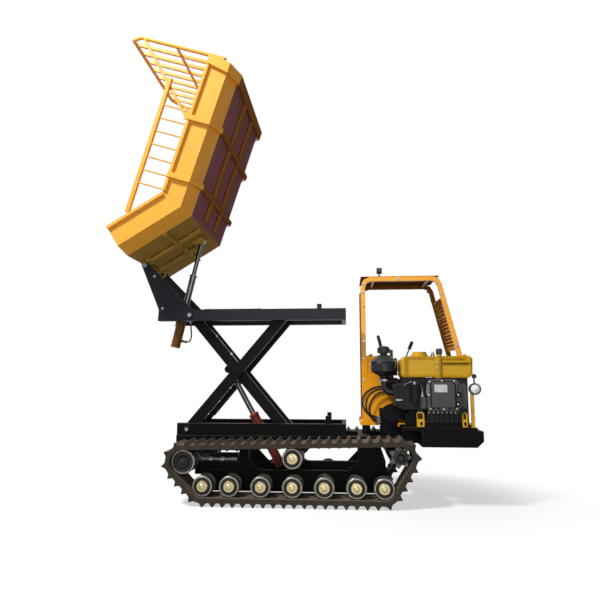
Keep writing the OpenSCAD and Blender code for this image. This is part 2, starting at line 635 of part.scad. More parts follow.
// round tube bent in a plane of X and Z
function unit(v) = v / norm(v);
function trim(p, i, r) = let (a = unit(p[i] - p[i - 1]),
    b = unit(p[i + 1] - p[i])) r * tan(acos(a * b) / 2);
module bent_tube(p, y, r, d) translate([0, y, 0]) {
    n = len(p);
    for (i = [0:n - 2]) {
        u = unit(p[i + 1] - p[i]);
        a = p[i] + u * (i == 0 ? 0 : trim(p, i, r));
        b = p[i + 1] - u * (i == n - 2 ? 0 : trim(p, i + 1, r));
        rod_between([a[0], 0, a[1]], [b[0], 0, b[1]], d);
    }
    for (i = [1:n - 2]) {
        u = unit(p[i] - p[i - 1]);
        v = unit(p[i + 1] - p[i]);
        left = u[0] * v[1] - u[1] * v[0] > 0;
        s = left ? 1 : -1;
        c = p[i] - u * trim(p, i, r) + s * r * [-u[1], u[0]];
        start = left ? atan2(u[1], u[0]) - 90 : atan2(v[1], v[0]) + 90;
        translate([c[0], 0, c[1]]) rotate([90, 0, 0]) rotate(start)
            rotate_extrude(angle = acos(u * v), $fn = 64) translate([r, 0]) circle(d = d, $fn = 32);
    }
}

// driver place
rail_top = canopy_z - canopy_tube / 2;
frame_y = [cab_y0, cab_y0 + canopy_w - canopy_tube];
slope_top = [1413, rail_top];
slope_low = [1598, 1358];
canopy_path = [[post_x, deck_z], [post_x, rail_top - 80], [post_x + 23, rail_top - 23],
    [post_x + 80, rail_top],
    slope_top - [60, 0], slope_top - [12, 15], slope_top + [14, -56], slope_low, [slope_low[0], deck_z]];
// square tube bent in a plane of X and Z, with round corners
module square_tube(p, y, w) slab(y - w / 2, y + w / 2) {
    for (i = [0:len(p) - 2]) {
        d = p[i + 1] - p[i];
        translate(p[i]) rotate(atan2(d[1], d[0])) translate([0, -w / 2]) square([norm(d), w]);
    }
    for (i = [1:len(p) - 2]) translate(p[i]) circle(d = w - 0.6);
}
module canopy_frame() color(ORANGE) placed() {
    for (y = frame_y) square_tube(canopy_path, y, canopy_tube);
    for (x = [post_x + 110, slope_top[0] - 83]) bar_y(x, rail_top, 30, frame_y[0], frame_y[1]);
    bar_y(post_x, 1420, 30, frame_y[0], frame_y[1]);
    for (y = frame_y) for (x = [post_x, slope_low[0]]) box(x - 35, x + 20, y - 21, y + 35, deck_z,
        deck_z + 8);
    for (z = [1560, 1840]) bar_y(post_x, z, 20, frame_y[0] - canopy_tube / 2 - 7, frame_y[0], $fn = 6);
}
module roof_sheet() color(ORANGE) placed()
    box(post_x - 20, slope_top[0] + 12, frame_y[0] - 24, frame_y[1] + 24, canopy_z, canopy_z + 5);
module front_grille() color(ORANGE) placed()
    translate([slope_top[0], 0, slope_top[1]])
    rotate([0, -atan2(slope_low[0] - slope_top[0], slope_top[1] - slope_low[1]), 0]) mirror([0, 0, 1]) {
        y0 = frame_y[0] + canopy_tube / 2;
        y1 = frame_y[1] - canopy_tube / 2;
        box(-12, 12, y0, y0 + 20, 190, 735);
        box(-12, 12, y1 - 20, y1, 190, 735);
        for (z = [190, 372, 554, 715]) box(-12, 12, y0, y1, z, z + 20);
        box(9, 12, y0 + 10, y1 - 10, 200, 725);
        for (k = [0:13]) translate([0, 0, 228 + 36.2 * k])
            rotate([0, 40, 0]) box(-14, 14, y0 + 10, y1 - 10, -1.5, 1.5);
    }
module cab_floor() color(YELLOW) placed() {
    difference() {
        union() {
            box(620, 975, frame_y[0] - canopy_tube / 2 - 8, cab_y1 + 20, deck_z - 30, deck_z);
            box(974, nose_x, -230, cab_y1 + 20, deck_z - 30, deck_z);
        }
        box(box_x0 - 11, box_x1 + 11, box_y0 - 10, box_y1 + 10, deck_z - 31, deck_z + 1);
    }
    // side sheet with a pressed field, front sheet, seat box
    difference() {
        box(642, 950, frame_y[0] - canopy_tube / 2 - 8, frame_y[0] - canopy_tube / 2, deck_z, 1340);
        box(700, 840, frame_y[0] - canopy_tube / 2 - 9, frame_y[0] - canopy_tube / 2 - 5, 1150, 1300);
        box(690, 790, frame_y[0] - canopy_tube / 2 - 9, frame_y[0] - canopy_tube / 2 - 5, 800, 970);
        box(box_x0 - 11, 951, frame_y[0] - canopy_tube / 2 - 9, frame_y[0] - canopy_tube / 2 + 1,
            deck_z - 1, 836);
    }
    box(slope_low[0] + canopy_tube / 2, slope_low[0] + canopy_tube / 2 + 6, -230, cab_y1 + 20, deck_z,
        1350);
    box(slope_low[0] - 20, slope_low[0] + canopy_tube / 2 + 6, -230, -222, deck_z, 1000);
    difference() {
        box(700, 1040, 80, 480, deck_z, deck_z + seat_z - 95);
        box(706, 1041, 86, 474, deck_z + 20, deck_z + seat_z - 101);
    }
    box(694, 700, 200, 360, deck_z, deck_z + seat_z + 240);
}
module seat_cushion() color(BLACK) placed()
    translate([875, 280, deck_z + seat_z - 95]) {
        linear_extrude(height = 60, scale = 1.03) square([330, 380], center = true);
        translate([0, 0, 60]) linear_extrude(height = 35, scale = 0.82) square([340, 391], center = true);
    }
module seat_back() color(BLACK) placed()
    translate([700, 280, deck_z + seat_z + 20]) {
        box(0, 45, -180, 180, 0, 235);
        translate([45, 0, 117]) rotate([0, 90, 0])
            linear_extrude(height = 25, scale = 0.85) square([235, 360], center = true);
    }
// valve block on the side sheet, console column, lever pins
valve = [905, 1118];
helm = [1062, 1230];
module control_console() color(BLACK) placed() {
    y = frame_y[0] - canopy_tube / 2 - 8;
    box(valve[0] - 40, valve[0] + 40, y - 95, y, 985, 1090);
    both_sides_at(y - 48) box(valve[0] - 22, valve[0] + 22, 14, 24, 1088, 1140);
    bar_y(valve[0], valve[1], 16, y - 74, y - 22);
    box(helm[0] - 10, helm[0] + 74, 165, 315, deck_z, helm[1] - 30);
    both_sides_at(240) box(helm[0] - 8, helm[0] + 24, 14, 26, helm[1] - 32, helm[1] + 24);
    bar_y(helm[0], helm[1], 16, 212, 268);
    for (x = [helm[0] + 14, helm[0] + 44]) bar_z(x, 190, 16, helm[1] - 32, helm[1] - 10);
}
module both_sides_at(y) translate([0, y, 0]) both_sides() children();
module lever(p, y, dx, top, grip_d) {
    grip = 0.72;
    difference() {
        bar_y(p[0], p[1], 34, y - 10, y + 10);
        bar_y(p[0], p[1], 16 + 2 * fit, y - 11, y + 11);
    }
    difference() {
        rod_between([p[0], y, p[1]], [p[0] + dx, y, top], 14);
        bar_y(p[0], p[1], 26, y - 11, y + 11);
    }
    rod_between([p[0] + grip * dx, y, p[1] + grip * (top - p[1])], [p[0] + dx, y, top], grip_d);
}
module lift_lever() color(STEEL) placed() lever(valve, frame_y[0] - canopy_tube / 2 - 56, -101, 1534, 28);
module steer_lever() color(STEEL) placed() lever(helm, 240, 113, 1494, 32);
module hydraulic_tank() color(DARK) placed() {
    difference() {
        box(1345, 1560, 150, 500, deck_z, 1040);
        box(1351, 1554, 156, 494, deck_z + 6, 1034);
    }
    bar_z(1450, 250, 70, 1039, 1068);
}
// hose along a cubic curve in a plane of X and Z
hose_rings = 16;
hose_sides = 10;
function curve(p, t) = let (u = 1 - t)
    p[0] * u * u * u + p[1] * 3 * t * u * u + p[2] * 3 * t * t * u + p[3] * t * t * t;
function slope_of(p, t) = let (u = 1 - t)
    unit((p[1] - p[0]) * u * u + (p[2] - p[1]) * 2 * t * u + (p[3] - p[2]) * t * t);
module hose(p, y, d) {
    pts = [for (i = [0:hose_rings]) for (j = [0:hose_sides - 1])
        let (c = curve(p, i / hose_rings), u = slope_of(p, i / hose_rings), a = 360 * j / hose_sides)
            [c[0] - u[1] * cos(a) * d / 2, y + sin(a) * d / 2, c[1] + u[0] * cos(a) * d / 2]];
    sides = [for (i = [0:hose_rings - 1]) for (j = [0:hose_sides - 1])
        let (a = i * hose_sides + j, b = i * hose_sides + (j + 1) % hose_sides)
            [a, b, b + hose_sides, a + hose_sides]];
    polyhedron(points = pts, faces = concat(sides,
        [[for (j = [hose_sides - 1:-1:0]) j]],
        [[for (j = [0:hose_sides - 1]) hose_rings * hose_sides + j]]));
}
module oil_hoses() color(BLACK) placed() {
    y = frame_y[0] - canopy_tube / 2 - 8;
    x0 = valve[0] - 40;
    hose([[x0, 1045], [560, 1045], [585, 745], [box_x0, 745]], y - 10, 16);
    hose([[x0, 1020], [620, 1020], [622, 722], [box_x0, 722]], y - 27, 16);
    hose([[x0, 996], [690, 996], [650, 700], [box_x0, 700]], y - 44, 16);
}
module roof_lamp() color(BLACK) placed() {
    box(812, 848, cab_y0 - 20, cab_y0 + 20, canopy_z + 5, canopy_z + 11);
    bar_z(830, cab_y0, 14, canopy_z + 10, canopy_z + 36);
    bar_x(cab_y0, canopy_z + 64, 62, 806, 858);
}

// engine bed and engine
bed_z1 = deck_z - 30;
bed_z0 = bed_z1 - 139;
nose_x = 1669;
front_x = max(1140, sprocket_c[0] + sprocket_r + belt_out + 10);
module engine_base() color(BLACK) placed() {
    difference() {
        slab(-590, 590)
            polygon([[front_x, bed_z0], [nose_x - 57, bed_z0], [nose_x, bed_z0 + 54], [nose_x, bed_z1],
                [front_x, bed_z1]]);
        slab(-582, 582)
            polygon([[front_x + 8, bed_z0 - 1], [nose_x - 61, bed_z0 - 1], [nose_x - 8, bed_z0 + 54],
                [nose_x - 8, bed_z1 - 8], [front_x + 8, bed_z1 - 8]]);
    }
    box(1000, front_x + 1, -out_y - 15, out_y + 15, bed_z0, bed_z1);
    for (y = [eng_y0 + 30, eng_y1 - 80]) {
        box(977, 1619, y, y + 50, bed_z1, bed_z1 + 30);
    }
}
// crank case and cylinder on feet, with rocker cover, exhaust and sump ribs
case_y0 = eng_y0 + 25;
case_y1 = eng_y1 - 20;
module engine_block() color(DARK) placed() {
    difference() {
        box(1188, 1542, case_y0, case_y1, deck_z + 40, 1130);
        bar_y(crank[0], crank[1], 44 + 2 * fit, case_y1 - 60, case_y1 + 1);
        for (k = [0:6]) box(1200 + 42 * k, 1216 + 42 * k, case_y0 - 1, case_y0 + 14, deck_z + 39,
            deck_z + 118);
        box(1210, 1520, case_y0 + 30, case_y1 - 80, deck_z + 60, 1110);
    }
    box(985, 1190, case_y0 + 35, case_y1 - 20, 850, 1134);
    box(950, 986, case_y0 + 45, case_y1 - 10, 860, 1085);
    box(915, 951, case_y0 + 70, case_y1 - 60, 880, 1070);
    for (x = [1100, 1480]) for (y = [eng_y0 + 30, eng_y1 - 80])
        box(x, x + 60, y, y + 50, deck_z, x < 1200 ? 852 : deck_z + 42);
    box(1100, 1160, case_y0 + 5, case_y0 + 36, deck_z + 60, 900);
    box(1480, 1542, case_y0 - 4, case_y0 + 1, deck_z + 20, deck_z + 130);
    bent_tube([[966, 1080], [966, 1112], [915, 1112], [915, 1150]], case_y1 - 30, 18, 34);
    bar_z(915, case_y1 - 30, 104, 1148, 1310);
    bar_z(915, case_y1 - 30, 30, 1309, 1390);
}
module gear_cover() color(DARK) placed() {
    slab(eng_y0, case_y0)
        polygon([[1205, 841], [1450, 841], [1490, 890], [1490, 1070], [1440, 1118], [1215, 1118],
            [1191, 1090],
            [1191, 860]]);
    bar_y(crank[0], crank[1] + 18, 120, eng_y0 - 12, eng_y0 + 1);
    bar_y(1268, 1010, 84, eng_y0 - 8, eng_y0 + 1);
    bar_y(1455, 985, 44, eng_y0 - 22, eng_y0 + 1);
    bar_y(1452, 905, 36, eng_y0 - 16, eng_y0 + 1);
    for (p = [[1215, 862], [1330, 858], [1440, 862], [1470, 1000], [1425, 1100], [1320, 1104], [1215, 1096],
        [1208, 980]])
        bar_y(p[0], p[1], 18, eng_y0 - 8, eng_y0 + 1, $fn = 6);
}
module fuel_tank() color(YELLOW) placed() {
    difference() {
        slab(eng_y0 + 12, eng_y1 - 5)
            polygon([[975, 1152], [990, 1134], [1285, 1134], [1292, 1142], [1292, 1318], [1010, 1318],
                [975, 1288]]);
        box(1015, 1285, eng_y0 + 17, eng_y1 - 10, 1140, 1310);
    }
    bar_z(1156, eng_y0 + 190, 154, 1317, 1340);
    bar_z(1156, eng_y0 + 190, 130, 1339, 1362);
}
module radiator_hood() color(YELLOW) placed() {
    difference() {
        slab(eng_y0 + 8, eng_y1 - 2)
            polygon([[1294, 1130], [1560, 1130], [1588, 1160], [1594, 1296], [1570, 1320], [1294, 1320]]);
        box(1300, 1555, eng_y0 + 14, eng_y1 - 8, 1138, 1312);
    }
    box(1264, 1322, eng_y0 + 4, eng_y0 + 9, 1126, 1312);
    for (z = [1214, 1262]) bar_y(1281, z, 20, eng_y0 - 3, eng_y0 + 5, $fn = 6);
    slab(eng_y0 - 4, eng_y0 + 9) polygon([[1330, 1260], [1578, 1260], [1578, 1280], [1330, 1280]]);
    bar_z(1335, eng_y0 + 180, 46, 1319, 1388);
}
module air_cleaner() color(BLACK) placed() {
    r = cleaner_d / 2;
    translate([832, -450, 0]) rotate_extrude($fn = 64)
        polygon([[0, 1100], [38, 1100], [38, 1108], [46, 1108], [46, 1122], [38, 1122], [42, 1140],
            [r - 6, 1182],
            [r, 1188], [r, 1256], [r - 4, 1262], [r + 2, 1266], [r - 2, 1276], [60, 1330], [34, 1338],
                [34, 1350],
            [58, 1354], [58, 1396], [44, 1412], [0, 1420]]);
    bent_tube([[832, 1104], [832, 1000], [915, 1000]], -450, 62, 60);
}
module fuel_filter() color(DARK) placed() {
    y = case_y0 + 35 - 46;
    bar_z(1088, y, 76, 915, 1048);
    bar_z(1088, y, 88, 1040, 1072);
    box(1066, 1110, y, case_y0 + 35, 1046, 1070);
}
module flywheel() color(STEEL) placed() translate([crank[0], case_y1, crank[1]]) rotate([-90, 0, 0])
    rotate_extrude($fn = 72)
        polygon([[0, -58], [22, -58], [22, 24], [70, 26], [70, 34], [flywheel_d / 2 - 40, 36],
            [flywheel_d / 2 - 34, 28], [flywheel_d / 2, 28], [flywheel_d / 2, 96],
                [flywheel_d / 2 - 34, 96],
            [flywheel_d / 2 - 40, 88], [80, 88], [86, 100], [78, 112], [86, 124], [78, 132], [86, 138],
                [0, 138]]);
// gearbox with final drive and axle tubes
box_y0 = -112;
box_y1 = 66;
box_x0 = 815;
box_x1 = 985;
module transmission() color(FRAME) placed() {
    box(box_x0, box_x1, box_y0, box_y1, 520, 825);
    for (z = [560, 640, 790]) box(box_x0 - 4, box_x1 + 4, box_y0 + 6, box_y1 - 6, z, z + 12);
    difference() {
        union() {
            bar_y(sprocket_c[0], sprocket_c[1], 190, -195, 195);
            bar_y(sprocket_c[0], sprocket_c[1], 92, -gear_y + 138, gear_y - 138);
        }
        both_sides() bar_y(sprocket_c[0], sprocket_c[1], 50 + 2 * fit, -gear_y + 100, -gear_y + 240);
    }
    box(860, sprocket_c[0] + 40, -100, 100, sprocket_c[1], 524);
    box(840, 960, -rail_y0, rail_y0, rail_z0 + 20, rail_z1 - 12);
}
guard_c = [[900, 792], crank];
guard_r = [78, 118];
function guard_a(s) = let (d = guard_c[1] - guard_c[0])
    atan2(d[1], d[0]) + s * acos((guard_r[0] - guard_r[1]) / norm(d));
module guard_2d(e) {
    for (i = [0:1]) translate(guard_c[i]) circle(r = guard_r[i] + e);
    polygon([guard_c[0] + (guard_r[0] + e) * ray(guard_a(-1)),
        guard_c[1] + (guard_r[1] + e) * ray(guard_a(-1)),
        guard_c[1] + (guard_r[1] + e) * ray(guard_a(1)), guard_c[0] + (guard_r[0] + e) * ray(guard_a(1))]);
}
module belt_guard() color(FRAME) placed() {
    y1 = box_y0;
    slab(y1 - 48, y1) difference() {
        guard_2d(0);
        guard_2d(-4);
    }
    slab(y1 - 4, y1) guard_2d(-1);
}
module headlamp() color(BLACK) placed() {
    lamp = [1608, 1032];
    y = eng_y0 + 46;
    box(1570, 1602, y - 4, y + 4, bed_z1 + 30, lamp[1]);
    bar_y(lamp[0], lamp[1], 86, y - 30, y + 30);
    bar_z(lamp[0], y, 14, lamp[1] + 40, 1140);
    translate([lamp[0], y, 1146]) sphere(d = 34);
}

lower_frame();
chassis_frame();
track_belt_near();
track_belt_far();
engine_base();
engine_block();
gear_cover();
fuel_tank();
radiator_hood();
air_cleaner();
fuel_filter();
transmission();
belt_guard();
canopy_frame();
roof_sheet();
front_grille();
cab_floor();
seat_cushion();
seat_back();
control_console();
hydraulic_tank();
oil_hoses();
headlamp();
roof_lamp();
sprocket_near();
sprocket_far();
idler_near();
idler_far();
carrier_near();
carrier_far();
road_wheel_n1();
road_wheel_n2();
road_wheel_n3();
road_wheel_n4();
road_wheel_n5();
road_wheel_n6();
road_wheel_n7();
road_wheel_f1();
road_wheel_f2();
road_wheel_f3();
road_wheel_f4();
road_wheel_f5();
road_wheel_f6();
road_wheel_f7();
flywheel();
steer_lever();
lift_lever();
outer_arms();
inner_arms();
lower_rollers();
upper_rollers();
upper_frame();
body_shell();
body_ribs();
body_rails();
lift_barrel();
lift_rod();
tip_barrel();
tip_stage();
tip_rod();
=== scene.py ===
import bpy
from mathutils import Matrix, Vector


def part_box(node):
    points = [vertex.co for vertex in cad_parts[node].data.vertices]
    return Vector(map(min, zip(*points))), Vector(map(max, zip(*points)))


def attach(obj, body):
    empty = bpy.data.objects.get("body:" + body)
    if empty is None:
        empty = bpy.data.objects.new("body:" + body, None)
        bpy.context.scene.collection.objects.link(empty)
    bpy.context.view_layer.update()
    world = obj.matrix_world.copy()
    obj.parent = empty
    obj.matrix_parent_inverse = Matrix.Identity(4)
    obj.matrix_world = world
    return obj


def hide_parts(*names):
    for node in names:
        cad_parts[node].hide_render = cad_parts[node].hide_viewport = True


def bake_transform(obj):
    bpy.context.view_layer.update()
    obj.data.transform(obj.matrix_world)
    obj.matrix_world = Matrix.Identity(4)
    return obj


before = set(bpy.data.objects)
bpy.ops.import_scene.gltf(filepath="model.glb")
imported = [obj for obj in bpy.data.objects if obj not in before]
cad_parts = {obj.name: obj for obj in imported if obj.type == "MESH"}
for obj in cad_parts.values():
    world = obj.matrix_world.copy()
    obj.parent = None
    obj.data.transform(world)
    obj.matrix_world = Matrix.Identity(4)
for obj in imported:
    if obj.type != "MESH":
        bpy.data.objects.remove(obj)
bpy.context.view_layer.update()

import math
import bmesh
import bpy
from mathutils import Vector

# View. The carrier stands side on with its tracks level, and is seen from five and a half metres away,
# from the height of the raised frame and a little to the right, so that the far track just shows.
MM = 0.001
lower_frame_end = -1142
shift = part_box("lower_frame")[0].x / MM - lower_frame_end


def at(x, y, z):
    """A place in millimetres from the middle of the tracks, in the frame's metres."""
    return Vector(((x + shift) * MM, y * MM, z * MM))


eye = at(479.3, -5580, 1152.9)
tilt_up = 7.77
turn_left = 4.68
lens = 33.0
view = bpy.data.cameras.new("view")
view.lens = lens
view.sensor_width = 36.0
camera = bpy.data.objects.new("view", view)
camera.location = eye
camera.rotation_euler = (math.radians(90 + tilt_up), 0, math.radians(turn_left))
bpy.context.scene.collection.objects.link(camera)
bpy.context.scene.camera = camera
bpy.context.scene.view_settings.view_transform = "Standard"


# Studio. A soft lamp stands high to the left before the carrier, with a weak one at eye height and one at
# the back. The room is white to the eye and to mirrors and dim as a light, so that shaded sides keep depth.
def linear(colour):
    """An sRGB hex colour as linear red, green, blue and alpha."""
    parts = [int(colour[i:i + 2], 16) / 255 for i in (1, 3, 5)]
    return (*(c / 12.92 if c <= 0.04045 else ((c + 0.055) / 1.055) ** 2.4 for c in parts), 1.0)


def fill(tree, node, sockets):
    """Fills a node's sockets with values or with other nodes' outputs."""
    for socket, value in sockets.items():
        if isinstance(value, bpy.types.NodeSocket):
            tree.links.new(value, node.inputs[socket])
        else:
            node.inputs[socket].default_value = value


def add(tree, kind, inputs=None, **settings):
    """Adds a node with its settings, and fills its sockets."""
    node = tree.nodes.new("ShaderNode" + kind)
    for name, value in settings.items():
        setattr(node, name, value)
    fill(tree, node, inputs or {})
    return node


room_light = 0.08
room = bpy.data.worlds.new("room")
bpy.context.scene.world = room
room.use_nodes = True
room_nodes = room.node_tree
room_nodes.nodes.clear()


def seen_directly(tree):
    """1 for what the eye, a mirror or a glass shows, 0 for light that falls on the carrier."""
    path = add(tree, "LightPath").outputs
    mirror = add(tree, "Math", {0: path["Is Camera Ray"], 1: path["Is Glossy Ray"]}, operation="MAXIMUM")
    glass = {0: mirror.outputs[0], 1: path["Is Transmission Ray"]}
    return add(tree, "Math", glass, operation="MAXIMUM").outputs[0]


white_room = add(room_nodes, "Background", {"Color": (1, 1, 1, 1), "Strength": 1.0})
dim_room = add(room_nodes, "Background", {"Color": (1, 1, 1, 1), "Strength": room_light})
sides = {0: seen_directly(room_nodes), 1: dim_room.outputs[0], 2: white_room.outputs[0]}
both = add(room_nodes, "MixShader", sides)
add(room_nodes, "OutputWorld", {"Surface": both.outputs[0]})

middle = at(0, 0, 1250)
lamps = {
    "key_lamp": ((-4600, -4700, 9000), 1.8, 1300),
    "fill_lamp": ((900, -8000, 2200), 3.6, 190),
    "back_lamp": ((-3200, 5600, 5800), 3.4, 160),
}
for name, (place, size, power) in lamps.items():
    lamp = bpy.data.lights.new(name, "AREA")
    lamp.shape = "DISK"
    lamp.size = size
    lamp.energy = power
    stand = bpy.data.objects.new(name, lamp)
    stand.location = at(*place)
    stand.rotation_euler = (middle - stand.location).to_track_quat("-Z", "Y").to_euler()
    bpy.context.scene.collection.objects.link(stand)


# Floor. A wide sheet of pale matt paper lies under the tracks. The eye sees it lit up to white, apart from
# the soft shadow that it keeps close round the carrier.
def start_material(name):
    """A new material, its tree of nodes, and the place on the piece in metres."""
    material = bpy.data.materials.new(name)
    material.use_nodes = True
    return material, material.node_tree, add(material.node_tree, "TexCoord").outputs["Object"]


floor_half = 30.0
floor_drop = 0.001
shadow_kept = 0.45
shadow_reach = (2.4, 1.5, 1.0)
sheet = bmesh.new()
bmesh.ops.create_grid(sheet, x_segments=1, y_segments=1, size=floor_half)
paper_mesh = bpy.data.meshes.new("floor")
sheet.to_mesh(paper_mesh)
sheet.free()
floor = bpy.data.objects.new("floor", paper_mesh)
floor.location = (0, 0, -floor_drop)
bpy.context.scene.collection.objects.link(floor)
paper, tree, place = start_material("matt_paper")
shader = tree.nodes["Principled BSDF"]
tints = {0: seen_directly(tree), 6: linear("#949492"), 7: linear("#F6F6F4")}
fill(tree, shader, {"Base Color": add(tree, "Mix", tints, data_type="RGBA").outputs[2], "Roughness": 0.95})
glow = add(tree, "Emission", {"Color": (1, 1, 1, 1), "Strength": 1.0})
away = add(tree, "VectorMath", {0: place, 1: shadow_reach}, operation="DIVIDE")
far = add(tree, "VectorMath", {0: away.outputs[0]}, operation="LENGTH")
fade = {"Value": far.outputs["Value"], "From Min": 0.7, "From Max": 1.2, "To Min": 1 - shadow_kept}
bright = add(tree, "MapRange", fade, interpolation_type="SMOOTHSTEP")
lit = {0: seen_directly(tree), 1: bright.outputs[0]}
share = add(tree, "Math", lit, operation="MULTIPLY")
sides = {0: share.outputs[0], 1: shader.outputs[0], 2: glow.outputs[0]}
fill(tree, tree.nodes["Material Output"], {"Surface": add(tree, "MixShader", sides).outputs[0]})
paper_mesh.materials.append(paper)


# Oil hoses. Three wire-braided rubber hoses loop from the valve block beside the seat down to the gearbox.
# They are crimped into steel ferrules at both ends and hang in their own bend, tied to nothing between.
def pattern(place, size, **more):
    """The sockets of a pattern that repeats at a size in millimetres."""
    return {"Vector": place, "Scale": 1 / (size * MM), **more}


def set_surface(material, mix, shine, skin, own):
    """Ends a material: mix holds a share and two colours, shine what drives the roughness and its range,
    skin what raises the surface, how strongly and how far, and own the shader's own values."""
    tree = material.node_tree
    blend = dict(zip((0, 6, 7), mix))
    spread = dict(zip(("Value", "To Min", "To Max", "From Min", "From Max"), shine))
    bumps = dict(zip(("Height", "Strength", "Distance", "Normal"), skin))
    fill(tree, tree.nodes["Principled BSDF"], {
        "Base Color": add(tree, "Mix", blend, data_type="RGBA").outputs[2],
        "Roughness": add(tree, "MapRange", spread).outputs[0],
        "Normal": add(tree, "Bump", bumps).outputs[0],
        **own,
    })
    return material


def black_rubber(name, colour, dust, grain):
    """Moulded rubber: dull black with a brown bloom of dust in patches, and a fine pitted skin."""
    material, tree, place = start_material(name)
    bloom = add(tree, "TexNoise", pattern(place, grain * 22, Detail=6.0)).outputs["Fac"]
    patches = add(tree, "MapRange", {"Value": bloom, "From Min": 0.42, "From Max": 0.72, "To Max": 0.75})
    pits = add(tree, "TexNoise", pattern(place, grain, Detail=4.0)).outputs["Fac"]
    return set_surface(material, (patches.outputs[0], linear(colour), linear(dust)),
                       (bloom, 0.55, 0.85, 0.3, 0.7), (pits, 0.35, grain * 0.25 * MM),
                       {"IOR": 1.52, "Specular IOR Level": 0.25})


def zinc_plate(name, colour, roughness, cloud="#8E9296"):
    """Zinc-plated steel: bright metal with a cloudy film and a slight grain."""
    material, tree, place = start_material(name)
    film = add(tree, "TexNoise", pattern(place, 9, Detail=5.0)).outputs["Fac"]
    grain = add(tree, "TexNoise", pattern(place, 1.5, Detail=3.0)).outputs["Fac"]
    return set_surface(material, (film, linear(colour), linear(cloud)),
                       (film, roughness - 0.1, roughness + 0.15), (grain, 0.15, 0.2 * MM), {"Metallic": 1.0})


def fit(piece, material, body="carrier"):
    """Gives a piece its finish and the body that it moves with."""
    piece.data.materials.clear()
    piece.data.materials.append(material)
    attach(piece, body)
    return piece


def new_piece(name, data):
    """Puts a mesh or a curve into the scene as a piece."""
    piece = bpy.data.objects.new(name, data)
    bpy.context.scene.collection.objects.link(piece)
    return piece


def curve_piece(name, handles, diameter):
    """A round line through points, each with the handles before and after it."""
    curve = bpy.data.curves.new(name, "CURVE")
    curve.dimensions = "3D"
    curve.bevel_depth = diameter / 2 * MM
    curve.bevel_resolution = 6
    curve.resolution_u = 24
    curve.use_fill_caps = True
    line = curve.splines.new("BEZIER")
    line.bezier_points.add(len(handles) - 1)
    for point, (before, here, after) in zip(line.bezier_points, handles):
        point.co = here
        point.handle_left = before
        point.handle_right = after
    return new_piece(name, curve)


def bend(p):
    """The ends of a cubic curve with their handles."""
    return [(p[0] * 2 - p[1], p[0], p[1]), (p[2], p[3], p[3] * 2 - p[2])]


def mesh_piece(name, mesh, sharp=None):
    """A piece of a worked mesh, made smooth between edges that turn by more than an angle in degrees."""
    bmesh.ops.recalc_face_normals(mesh, faces=mesh.faces)
    data = bpy.data.meshes.new(name)
    mesh.to_mesh(data)
    mesh.free()
    if sharp:
        for face in data.polygons:
            face.use_smooth = True
        data.set_sharp_from_angle(angle=math.radians(sharp))
    return new_piece(name, data)


def lathe(name, rings, start, axis, steps):
    """A turned piece: rings are (distance along the axis, radius) in millimetres from the start."""
    along = Vector(axis).normalized()
    side = along.orthogonal().normalized()
    other = along.cross(side)
    mesh = bmesh.new()
    rows = []
    for reach, radius in rings:
        turn = [2 * math.pi * i / steps for i in range(steps)]
        centre = start + along * reach * MM
        rows.append([mesh.verts.new(centre + (side * math.cos(a) + other * math.sin(a)) * radius * MM)
                     for a in turn])
    for low, high in zip(rows, rows[1:]):
        for i in range(steps):
            j = (i + 1) % steps
            mesh.faces.new((low[i], low[j], high[j], high[i]))
    mesh.faces.new(rows[0][::-1])
    mesh.faces.new(rows[-1])
    return mesh_piece(name, mesh, 34)


hose_d = 16
valve_face = 865
gearbox_face = 815
sheet_y = -60
hose_routes = {
    "oil_hose_1": ((valve_face, 1045), (560, 1045), (585, 745), (gearbox_face, 745), -10),
    "oil_hose_2": ((valve_face, 1020), (620, 1020), (622, 722), (gearbox_face, 722), -27),
    "oil_hose_3": ((valve_face, 996), (690, 996), (650, 700), (gearbox_face, 700), -44),
}
braided_rubber = black_rubber("hose_rubber", "#0E0E0F", "#2A2724", 1.2)
zinc = zinc_plate("zinc_plated_steel", "#9A9DA0", 0.38, "#64676A")


ferrule_rings = [(-3, 9), (2, 12), (12, 12), (12, 9.6), (14, 10.4), (30, 10.4), (32, 8.4)]
for name, (start, leave, arrive, end, out) in hose_routes.items():
    p = [at(x, sheet_y + out, z) for x, z in (start, leave, arrive, end)]
    hose = fit(curve_piece(name, bend(p), hose_d), braided_rubber)
    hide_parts("oil_hoses")
    for tag, place, inward in (("a", p[0], p[1] - p[0]), ("b", p[3], p[2] - p[3])):
        ferrule = lathe(f"{name}_ferrule_{tag}", ferrule_rings, place, inward, 24)
        fit(ferrule, zinc)


# Tip hose. A short rubber hose feeds the tipping cylinder from a pipe on the raised frame. It leaves the
# frame at a steel nut, sags a little, and ends in a green-capped port on the barrel.
def as_mesh(piece):
    """A mesh piece of the shape that a curve or modifiers make, in place of the piece."""
    name = piece.name
    depsgraph = bpy.context.evaluated_depsgraph_get()
    data = bpy.data.meshes.new_from_object(piece.evaluated_get(depsgraph))
    data.materials.clear()
    bpy.data.objects.remove(piece)
    return new_piece(name, data)


tip_hose_d = 14
tip_route = [(-1049, -243, 1684), (-1049, -200, 1560), (-1083, 0, 1474), (-1170, 0, 1494)]
p = [at(*spot) for spot in tip_route]
tip_hose = as_mesh(curve_piece("tip_hose", bend(p), tip_hose_d))
tip_hose.data.materials.append(braided_rubber)
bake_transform(tip_hose)
hose_nut = [(-14, 9), (-14, 13), (8, 13), (10, 10), (24, 9.4), (26, 7.4)]
frame_nut = lathe("tip_hose_frame_nut", hose_nut, p[0], p[1] - p[0], 6)
fit(frame_nut, zinc, "upper_frame")


def shade(colour, share):
    """A darker tone of a colour, at a share of its light."""
    return (*(c * share for c in linear(colour)[:3]), 1.0)


